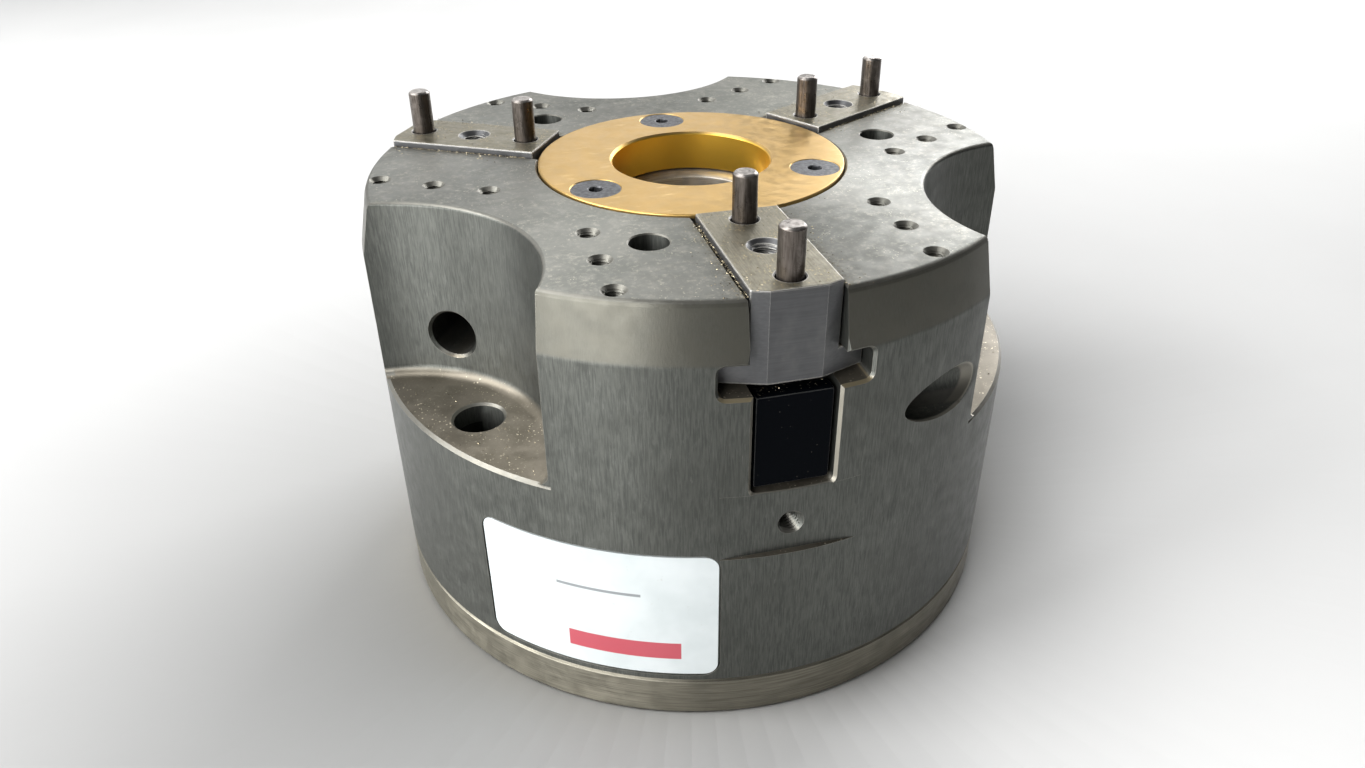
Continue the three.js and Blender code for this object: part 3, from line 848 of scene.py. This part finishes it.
def label_material():
    """Blank pale film with a thin grey rule, a plain red bar and soft handling marks."""
    f = Finish("label_film", specular=0.45)
    colour = f.mix(f.patches(12, 3.0, 0.3, 0.7), (0.524, 0.568, 0.572), (0.603, 0.642, 0.647))
    grime = f.times(f.patches(1.4, 4.0, 0.66, 0.8), 0.35)
    colour = f.mix(grime, colour, (0.38, 0.37, 0.33))
    height = f.split(f.point, 2)
    cosine, sine = polar(sum(LABEL_ANGLES) / 2)
    across = f.along((-sine, cosine, 0.0))
    bar, rule = (f.times(*(f.ramp(f.away(place, centre), half + fade, half)
                           for place, (centre, half, fade) in zip((across, height), mark)))
                 for mark in (LABEL_BAR, LABEL_RULE))
    colour = f.mix(f.times(rule, 0.75), colour, (0.13, 0.14, 0.15))
    colour = f.mix(f.times(bar, 0.9), colour, (0.42, 0.02, 0.045))
    rough = f.patches(5, 3.0, 0.3, 0.7, 0.3, 0.42)
    return f.done(colour, rough, f.bump(f.noise(3, 3.0), 0.01, 0.3))


def rubber_material(name, colour, light):
    f = Finish(name, specular=0.35)
    grain = f.noise(0.4, 3.0)
    return f.done(f.mix(f.ramp(grain, 0.3, 0.7), colour, light), f.ramp(grain, 0.3, 0.7, 0.6, 0.8),
                  f.bump(grain, 0.01, 0.5))


def swarf_material():
    """Bright brassy and steely chips, each of its own tint."""
    f = Finish("swarf_metal", metallic=0.85)
    colour = f.mix(f.patches(0.5, 1.0, 0.4, 0.6), (0.16, 0.13, 0.08), (0.48, 0.42, 0.29))
    rough = f.patches(0.7, 1.0, 0.3, 0.7, 0.25, 0.5)
    return f.done(colour, rough, f.bump(f.noise(0.1, 1.0), 0.01, 0.5))


def floor_material():
    """A pale floor and backdrop; the wall in front and to the right is painted dark, a painted shade that
    the metal reflects.
    """
    f = Finish("floor", specular=0.2)
    cloud = f.noise(160, 3.0)
    colour = f.mix(f.ramp(cloud, 0.3, 0.7), (0.60, 0.60, 0.595), (0.63, 0.63, 0.625))
    away = f.radius()
    colour = f.mix(f.ramp(away, 500, 1400), colour, (0.5, 0.505, 0.505))
    # Painted shade: the wall ahead and to the right is painted dark so that the metal's right side
    # reflects dark.
    ahead = f.along((*polar(DARK_WALL_ANGLE), 0.0))
    dark = f.times(f.ramp(ahead, 0.1 * ROOM_R, 0.75 * ROOM_R), f.ramp(f.split(f.point, 2), 20, 400))
    colour = f.mix(dark, colour, (0.22, 0.22, 0.22))
    return f.done(colour, f.ramp(cloud, 0.3, 0.7, 0.75, 0.85))


anodised = anodised_finish()
plate_finish = plate_material()
gold = gold_material()
jaw_steel = jaw_material()
pin_steel = pin_material()
screw_black = dark_screw_material()
block_black = gloss_block_material()
sleeve_steel = bored_steel_material("sleeve_steel", (0.40, 0.38, 0.35), (0.62, 0.60, 0.56),
                                    0.75, 0.34, 0.5)
driver_steel = bored_steel_material("driver_steel", (0.20, 0.20, 0.20), (0.32, 0.32, 0.32))
piston_metal = bored_steel_material("piston_metal", (0.26, 0.26, 0.25), (0.38, 0.38, 0.37),
                                    0.6, 0.35, 0.5)
label_film = label_material()
swarf_metal = swarf_material()
seal_rubber = rubber_material("seal_rubber", (0.012, 0.012, 0.013), (0.028, 0.028, 0.03))
guide_tape = rubber_material("guide_tape", (0.13, 0.07, 0.025), (0.22, 0.12, 0.05))


# --- housing
def housing_blank():
    profile = [(BODY_R - 0.3, BODY_BOTTOM), (BODY_R, BODY_BOTTOM + 0.3), (BODY_R, TAPER_START - 0.8)]
    profile += [(BODY_R - 0.05, TAPER_START), (TAPER_R + 0.15, BODY_TOP - 1.3)]
    profile += [(TAPER_R - 1.2 + r, z) for r, z in arc(0, BODY_TOP - 1.2, 1.2, 5, 90, 6)]
    return turned("housing", profile)


def centre_cutters():
    profiles = [
        (CHAMBER_R, 0, CHAMBER_TOP), (FLANGE_R + GAP, CHAMBER_TOP - 1, WALL_TOP + 1),
        (CAVITY_R, WALL_TOP, CAVITY_TOP), (SLEEVE_R + GAP, CAVITY_TOP - 1, FLANGE_BOTTOM),
        (FLANGE_R + GAP, FLANGE_BOTTOM - GAP, COVER_BOTTOM),
    ]
    cutters = [rod("centre", *profile, MEDIUM) for profile in profiles]
    seat_r = COVER_R + GAP
    cutters.append(turned("cover_seat", [(seat_r, COVER_BOTTOM - GAP), (seat_r, BODY_TOP - 0.4),
                                         (seat_r + 0.9, BODY_TOP + 0.5)]))
    groove = [(SEAL_GROOVE_R[i], SEAL_GROOVE_Z[j]) for i, j in ((0, 0), (1, 0), (1, 1), (0, 1))]
    cutters.append(turned("seal_groove", groove, MEDIUM, loop=True))
    return cutters


def scallop_cutters():
    fillet, lip = 2.5, 0.9
    profile = [(SCALLOP_R - fillet + r, z) for r, z in arc(0, LEDGE_Z + fillet, fillet, -90, 0, 8)]
    profile += [(SCALLOP_R, BODY_TOP - lip)]
    profile += [(SCALLOP_R + lip - r, z) for r, z in arc(0, BODY_TOP - lip, lip, 0, 80, 5)][1:]
    profile += [(SCALLOP_R + lip, BODY_TOP + 0.1), (SCALLOP_R + lip + 0.1, BODY_TOP + 4)]
    scallop = move(turned("scallop", profile, FINE), u=SCALLOP_AT)
    hole = move(drilled("ledge_hole", LEDGE_HOLE_R, 0, LEDGE_Z, 0.5), u=LEDGE_HOLE_AT)
    screw = rod("screw_hole", COVER_SCREW_HOLE_R, 81.5, 95)
    return [scallop, hole, move(screw, u=COVER_SCREW_AT), ledge_edge_cutter()]


def top_hole_cutters():
    cutters = []
    for u in TOP_THREADS_U:
        for v in TOP_THREADS_V:
            cutters += [move(c, u=u, v=v) for c in tapped("m4", 2.0, 0.7, 90, BODY_TOP, 2.5)]
    cutters.append(move(drilled("locating", LOCATING_R, 79, BODY_TOP, 0.25), *LOCATING_AT))
    return cutters


def flat_hole_cutters():
    turn = Matrix.Rotation(math.radians(90), 4, "Y")
    cutters = tapped("m5", 2.5, 0.8, FLAT_U - 14, FLAT_U, 2.75)
    for cutter in cutters:
        cutter.data.transform(turn)
        move(cutter, v=0.4, z=FLAT_HOLE_Z)
    return cutters


def jaw_sector_cutters():
    past = BODY_R + 3
    cutters = [
        block("pocket", (0, POCKET_END), (-POCKET_V, POCKET_V), (WALL_TOP, SLOT_BOTTOM + 0.1)),
        block("tee", (SLOT_START, COVER_R), (-SLOT_V, SLOT_V), (SLOT_BOTTOM, SLOT_TOP)),
        slot_cutter(),
        block("flat", (FLAT_U, past), (-20, 20), FLAT_Z),
        bored("sensor_inner", SENSOR_INNER, scallop_wall, 0.6),
        bored("sensor_outer", SENSOR_OUTER, outer_wall, 0.5),
    ]
    return cutters + flat_hole_cutters() + top_hole_cutters()


def make_housing():
    body = housing_blank()
    cut(body, centre_cutters())
    for make, angles in ((scallop_cutters, SCALLOP_ANGLES), (jaw_sector_cutters, JAW_ANGLES)):
        for angle in angles:
            cut(body, [move(c, angle=angle) for c in make()])
    for angle in BASE_SCREW_ANGLES:
        screw = rod("screw", BASE_SCREW_HOLE_R, 0, 26.3)
        cut(body, [move(screw, u=BASE_SCREW_AT, angle=angle)])
    spread = math.degrees(LABEL_MARGIN / BODY_R)
    recess = curved_patch("recess", (LABEL_R[0] - GAP, BODY_R + 1),
                          (LABEL_ANGLES[0] - spread, LABEL_ANGLES[1] + spread),
                          (LABEL_Z[0] - LABEL_MARGIN, LABEL_Z[1] + LABEL_MARGIN), LABEL_CORNER + 1)
    cut(body, [recess])
    return body


# --- other fixed pieces
def make_base_plate():
    profile = [(SLEEVE_R + GAP, 0.5), (SLEEVE_R + GAP + 0.5, 0), (BODY_R - 1.3, 0)]
    profile += [(BODY_R - 1 + r, z) for r, z in arc(0, 1, 1, -70, 0, 4)]
    profile += [(BODY_R, PLATE_TOP - 0.45), (BODY_R - 0.45, PLATE_TOP), (REGISTER_R, PLATE_TOP),
                (REGISTER_R, REGISTER_TOP), (SLEEVE_R + GAP, REGISTER_TOP)]
    plate = turned("base_plate_fine", profile, FINE, loop=True)
    for angle in SCALLOP_ANGLES:
        cut(plate, [move(drilled("hole", LEDGE_HOLE_R, -1, 14, 0.1), u=LEDGE_HOLE_AT, angle=angle)])
    for angle in BASE_SCREW_ANGLES:
        head = turned("head", [(BASE_SCREW_HEAD_R + 0.6, -0.6), (BASE_SCREW_HEAD_R, 0.01),
                               (BASE_SCREW_HEAD_R, 6.5)], HOLE)
        shank = rod("shank", BASE_SCREW_HOLE_R, 0, 12)
        cut(plate, [move(c, u=BASE_SCREW_AT, angle=angle) for c in (head, shank)])
    for place, angle in PORTS:
        port = rod("port", PORT_R, -1, 14)
        recess = turned("recess", [(PORT_SEAL_R + 0.4, -0.4), (PORT_SEAL_R, 0.01), (PORT_SEAL_R, 1.8)], 32)
        cut(plate, [move(c, u=place, angle=angle) for c in (port, recess)])
    return plate


def make_sleeve():
    profile = [(BORE_R, 1.2), (BORE_R + 0.6, 0.6), (SLEEVE_R - 0.4, 0.6), (SLEEVE_R, 1),
               (SLEEVE_R, FLANGE_BOTTOM), (FLANGE_R, FLANGE_BOTTOM), (FLANGE_R, FLANGE_TOP),
               (COVER_BORE_R - 0.1, FLANGE_TOP), (BORE_R + 0.3, FLANGE_TOP - 0.9),
               (BORE_R, FLANGE_TOP - 1.2)]
    return turned("centre_sleeve_fine", profile, MEDIUM + 32, loop=True)


def make_cover():
    profile = [(COVER_BORE_R + 0.3, COVER_BOTTOM), (COVER_R, COVER_BOTTOM), (COVER_R, COVER_TOP - 0.35)]
    profile += [(COVER_R - 0.35 + r, z) for r, z in arc(0, COVER_TOP - 0.35, 0.35, 15, 90, 4)]
    profile += [(COVER_BORE_R + 0.55, COVER_TOP), (COVER_BORE_R + 0.1, COVER_TOP - 0.45),
                (COVER_BORE_R, COVER_TOP - 0.6), (COVER_BORE_R, COVER_BOTTOM + 0.3)]
    cover = turned("centre_cover_fine", profile, FINE, loop=True)
    for angle in SCALLOP_ANGLES:
        sink = turned("sink", [(COVER_SCREW_HOLE_R, COVER_BOTTOM - 1), (COVER_SCREW_HOLE_R, 96.3),
                               (5.6, COVER_TOP - 0.05),
                               (5.65, COVER_TOP), (6.0, COVER_TOP + 0.4)], 48)
        cut(cover, [move(sink, u=COVER_SCREW_AT, angle=angle)])
    return cover


def hex_cutter(across, low, high, mouth):
    """A hexagonal socket from low up to high, with a small round lead-in."""
    radius = across / math.sqrt(3)
    pilot = across / 2 * 0.98
    drill = turned("drill", [(0.05, low - 0.6), (pilot, low), (pilot, low + 0.1)], 24)
    socket = rod("socket", radius, low, high + 1, 6)
    lead = turned("lead", [(across / 2 - 0.02, high - mouth), (radius + 0.3, high + 0.3),
                           (radius + 0.3, high + 1)], 32)
    return [drill, socket, lead]


def make_cover_screw():
    top = COVER_TOP - 0.1
    profile = [(2.1, 82), (2.5, 82.4), (2.5, 95.9), (5.4, top - 0.3), (5.5, top - 0.15), (5.38, top)]
    return cut(turned("cover_screw", profile, 48), hex_cutter(3, 96.9, top, 0.25))


def make_base_screw():
    low, top = 0.4, 6.2
    profile = [(4.6, low), (5, low + 0.4), (5, top), (3, top), (3, 25.4), (2.5, 26)]
    screw = turned("base_screw", profile, 48)
    cutters = hex_cutter(5, -3.4, -low, 0.3)
    flip = Matrix.Scale(-1, 4, (0, 0, 1))
    for cutter in cutters:
        cutter.data.transform(flip)
        cutter.data.flip_normals()
    return cut(screw, cutters)


def make_window_block():
    return bevel(block("window_block", BLOCK_U, (-BLOCK_V, BLOCK_V), BLOCK_Z), 0.6)


def make_label():
    return curved_patch("label_fine", LABEL_R, LABEL_ANGLES, LABEL_Z, LABEL_CORNER)


# --- jaws
def rail_u(z):
    return RAIL_AT[0] - RAIL_SLOPE * (z - RAIL_AT[1])


def rail_cutter(name, inner, outer, half):
    low, high = 55, 90
    outline = [(rail_u(low) + inner, low), (rail_u(low) + outer, low),
               (rail_u(high) + outer, high), (rail_u(high) + inner, high)]
    return side_prism(name, outline, half)


def make_jaw():
    start, end = JAW_U
    shoulder = FRONT_SLOPE * (JAW_V - FRONT_V)
    bar_outline = [(start, -JAW_V), (end - shoulder, -JAW_V), (end, -FRONT_V), (end, FRONT_V),
                   (end - shoulder, JAW_V), (start, JAW_V)]
    corner = FRONT_SLOPE * (FOOT_V - FRONT_V)
    foot_outline = [(FOOT_START, -FOOT_V), (end - corner, -FOOT_V), (end, -FRONT_V),
                    (end, FRONT_V), (end - corner, FOOT_V), (FOOT_START, FOOT_V)]
    hook_top = FOOT_Z[0] + 0.5
    hook_outline = [(rail_u(HOOK_BOTTOM) - 5, HOOK_BOTTOM), (HOOK_END, HOOK_BOTTOM),
                    (HOOK_END, hook_top), (rail_u(hook_top) - 5, hook_top)]
    jaw = prism("jaw", bar_outline, FOOT_Z[1] - 0.5, JAW_TOP)
    join(jaw, [prism("foot", foot_outline, *FOOT_Z), side_prism("hook", hook_outline, HOOK_V)])
    bevel(jaw, 0.32)
    cutters = [rail_cutter("rail", -2.3, 2.3, 5.5), rail_cutter("neck", -12, 0, 3.1)]
    cutters += [move(drilled("pin_hole", DOWEL_R + GAP, 90, JAW_TOP, 0.25), u=u) for u in DOWEL_AT]
    cutters += [move(c, u=JAW_THREAD_AT) for c in tapped("m6", 3.0, 1.0, 90, JAW_TOP, 3.75)]
    return cut(jaw, cutters)


def make_dowel(u):
    profile = [(DOWEL_R - 0.5, 90.3), (DOWEL_R, 90.8), (DOWEL_R, DOWEL_TOP - 0.62)]
    profile += [(DOWEL_R - 0.1, DOWEL_TOP - 0.42), (DOWEL_R - 0.5, DOWEL_TOP - 0.06),
                (DOWEL_R - 0.62, DOWEL_TOP)]
    return move(turned("dowel", profile, 48), u=u)


# --- swarf
def sector_point(angle, u, v):
    """The point u along and v to the left of the line at this angle."""
    cosine, sine = polar(angle)
    return u * cosine - v * sine, u * sine + v * cosine


def chips(name, spots, body, angle=0):
    """A sprinkle of tiny metal chips: each spot is (u, v, z, size), resting on a surface."""
    draw = random.Random(name)
    points, faces = [], []
    for u, v, z, size in spots:
        first = len(points)
        turn = draw.uniform(0, 2 * math.pi)
        width = size * draw.uniform(0.25, 0.6)
        lift = size * draw.uniform(0.15, 0.5)
        for k, (reach, rise) in enumerate(((size, 0.0), (width, 0.0), (width, 0.0), (size * 0.2, lift))):
            a = turn + k * 2.1
            place = sector_point(angle, u + reach * math.cos(a), v + reach * math.sin(a))
            points.append((*place, z + rise - 0.02))
        a, b, c, d = range(first, first + 4)
        faces += [(a, c, b), (a, b, d), (b, c, d), (c, a, d)]
    obj = mesh_object(name, points, faces)
    obj.data.materials.append(swarf_metal)
    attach(obj, body)


def strewn(draw, count, u, v, z, size=(0.1, 0.42)):
    """Spots in a box, thinning away from its first u and v edges."""
    spots = []
    for _ in range(count):
        across = draw.random() ** 2.8
        spots.append((u[0] + (u[1] - u[0]) * draw.random(), v[0] + (v[1] - v[0]) * across, z,
                      size[0] + (size[1] - size[0]) * draw.random() ** 3))
    return spots


def strewn_ring(draw, count, radii, z, size=(0.1, 0.35)):
    """Spots in a ring, thinning away from its inner edge."""
    spots = []
    for _ in range(count):
        radius = radii[0] + (radii[1] - radii[0]) * draw.random() ** 2
        angle = draw.uniform(0, 2 * math.pi)
        spots.append((radius * math.cos(angle), radius * math.sin(angle), z,
                      size[0] + (size[1] - size[0]) * draw.random()))
    return spots


def strewn_ledge(draw, count):
    """Chips on a scallop's ledge, most of them away from the bolt hole."""
    spots = []
    while len(spots) < count:
        u, v = draw.uniform(55, 73.5), draw.uniform(-34, 34)
        inside = math.hypot(u, v) < BODY_R - 1.2 and math.hypot(u - SCALLOP_AT, v) < SCALLOP_R - 3
        clear = math.hypot(u - LEDGE_HOLE_AT, v) > LEDGE_HOLE_R + 0.9
        if inside and clear and draw.random() < 0.35 + 0.65 * (v > 0):
            spots.append((u, v, LEDGE_Z, 0.1 + 0.4 * draw.random() ** 3))
    return spots


def make_swarf():
    for number, angle in enumerate(JAW_ANGLES, 1):
        draw = random.Random(number)
        beside = []
        for side in (-1, 1):
            beside += strewn(draw, 320, (37, 71.5), (side * (NECK_V + 0.35), side * 14), BODY_TOP)
            gap = (JAW_V + 0.1, NECK_V + 0.8) if side > 0 else (-JAW_V - 0.1, -NECK_V - 0.8)
            beside += strewn(draw, 330, (37, 71), gap, BODY_TOP - 0.12, (0.15, 0.5))
        on_block = (BLOCK_U[0] + 0.4, BLOCK_U[1] - 1), (-BLOCK_V + 0.9, BLOCK_V - 0.9)
        beside += strewn(draw, 60, *on_block, BLOCK_Z[1])
        chips(f"swarf_beside_jaw_{number}", beside, "housing", angle)
        edge = JAW_V - 0.6
        on_top = []
        for amount, u, v in ((90, (37, 71.8), (edge, 0)), (90, (37, 71.8), (-edge, 0)),
                             (130, (58, 71.8), (-edge, edge))):
            on_top += strewn(draw, amount, u, v, JAW_TOP)
        holes = (*DOWEL_AT, JAW_THREAD_AT)
        on_top = [s for s in on_top if min(math.hypot(s[0] - u, s[1]) for u in holes) > 3.9]
        chips(f"swarf_on_jaw_{number}", on_top, f"jaw_{number}_body", angle)
    for number, angle in enumerate(SCALLOP_ANGLES, 1):
        spots = strewn_ledge(random.Random(10 + number), 170)
        chips(f"swarf_on_ledge_{number}", spots, "housing", angle)
    ring = strewn_ring(random.Random(5), 260, (COVER_R + 0.5, COVER_R + 3), BODY_TOP)
    ring = [s for s in ring
            if all(abs(sector_point(-a, s[0], s[1])[1]) > SLOT_V for a in JAW_ANGLES)]
    chips("swarf_round_cover", ring, "housing")


# --- assembly
def place_copies(make, pattern, material, body, angles, sharp=32):
    """One finished copy at each angle; pattern names the copy and the CAD node from its number."""
    first = make()
    for number, angle in enumerate(angles, 1):
        piece = add_object(pattern.format(number) + "_fine", first.data.copy())
        piece.rotation_euler.z = math.radians(angle)
        finish_piece(piece, material, body.format(number), [pattern.format(number)], sharp)
    bpy.data.objects.remove(first)


finish_piece(make_housing(), anodised, "housing", ["body_housing"])
finish_piece(make_base_plate(), plate_finish, "housing", ["base_plate"])
finish_piece(make_sleeve(), sleeve_steel, "housing", ["centre_sleeve"])
finish_piece(make_cover(), gold, "housing", ["centre_cover"])
finish_piece(make_label(), label_film, "housing", ["label_plate"])
place_copies(lambda: move(make_cover_screw(), u=COVER_SCREW_AT), "cover_screw_{}", screw_black,
             "housing", SCALLOP_ANGLES)
place_copies(lambda: move(make_base_screw(), u=BASE_SCREW_AT), "base_screw_{}", screw_black,
             "housing", BASE_SCREW_ANGLES)
place_copies(make_window_block, "window_block_{}", block_black, "housing", JAW_ANGLES)
place_copies(make_jaw, "jaw_{}", jaw_steel, "jaw_{}_body", JAW_ANGLES, 14)
for end, reach in zip(("inner", "outer"), DOWEL_AT):
    place_copies(lambda: make_dowel(reach), "jaw_{}_dowel_" + end, pin_steel,
                 "jaw_{}_body", JAW_ANGLES)

make_swarf()


def finish_inner_nodes():
    """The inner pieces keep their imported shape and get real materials."""
    finishes = {"piston_guide_ring": guide_tape, "piston": piston_metal, "wedge_driver": driver_steel}
    for seal in ("piston_seal", "sleeve_seal", "base_seal", "rod_seal", "port_seal_1", "port_seal_2"):
        finishes[seal] = seal_rubber
    for number in (1, 2, 3):
        finishes[f"driver_screw_{number}"] = screw_black
    for node, material in finishes.items():
        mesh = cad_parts[node].data
        mesh.materials.clear()
        mesh.materials.append(material)


finish_inner_nodes()


# --- stage
CAMERA_AT = (-58.15, -219.5, 176.86)
CAMERA_YAW, CAMERA_PITCH, CAMERA_ROLL = 0.2484, 0.5488, -0.0089


def make_camera():
    """The photograph's view: turned right by the yaw, down by the pitch."""
    data = bpy.data.cameras.new("camera")
    data.sensor_width = 36
    data.lens = 26.95
    data.clip_start = 0.01
    camera = add_object("camera", data)
    yaw, pitch, roll = CAMERA_YAW, CAMERA_PITCH, CAMERA_ROLL
    forward = Vector((math.sin(yaw) * math.cos(pitch), math.cos(yaw) * math.cos(pitch), -math.sin(pitch)))
    right = Vector((math.cos(yaw), -math.sin(yaw), 0))
    up = right.cross(forward)
    side = right * math.cos(roll) + up * math.sin(roll)
    top = up * math.cos(roll) - right * math.sin(roll)
    matrix = Matrix((side, top, -forward)).transposed().to_4x4()
    matrix.translation = Vector(CAMERA_AT) * MM
    camera.matrix_world = matrix
    bpy.context.scene.camera = camera


def make_stage():
    """A pale floor that curves up into a pale wall all round, except where its material paints shade ahead
    and to the right.
    """
    bend = [(ROOM_R - ROOM_BEND + r, ROOM_BEND + z) for r, z in arc(0, 0, ROOM_BEND, -90, 0, 10)]
    face = [(0.01, 0.0), (300.0, 0.0), *bend, (ROOM_R, ROOM_HEIGHT)]
    back = [(ROOM_R + 20, ROOM_HEIGHT), (ROOM_R + 20, -20), (0.01, -20)]
    floor = turned("floor", face + back, MEDIUM, loop=True)
    for face in floor.data.polygons:
        face.use_smooth = True
    floor.data.materials.append(floor_material())


def make_world():
    """A faint cool glow from all round."""
    world = bpy.data.worlds.new("world")
    world.use_nodes = True
    background = world.node_tree.nodes["Background"]
    background.inputs["Color"].default_value = (0.9, 0.95, 1.0, 1)
    background.inputs["Strength"].default_value = 0.04
    bpy.context.scene.world = world


# Each softbox: its direction from above (0 is the jaw 1 side, 90 the right), elevation and watts.
SOFTBOXES = ((135, 22, 9.0), (180, 22, 1.6), (180, 55, 3.8), (225, 22, 2.0), (270, 22, 12.5),
             (270, 55, 6.2), (314, 16, 12.5))


def make_softboxes():
    target = Vector((0, 0, SOFTBOX_AIM_Z * MM))
    for azimuth, elevation, watts in SOFTBOXES:
        turn, rise = math.radians(azimuth), math.radians(elevation)
        way = Vector((math.sin(turn) * math.cos(rise), -math.cos(turn) * math.cos(rise), math.sin(rise)))
        data = bpy.data.lights.new(f"softbox_{azimuth}_{elevation}", "AREA")
        data.size = SOFTBOX_SIZE * MM
        data.energy = watts
        light = add_object(data.name, data)
        light.location = target + SOFTBOX_AWAY * MM * way
        light.rotation_euler = (-way).to_track_quat("-Z", "Y").to_euler()


make_camera()
make_stage()
make_world()
make_softboxes()
bpy.context.scene.view_settings.view_transform = "Standard"
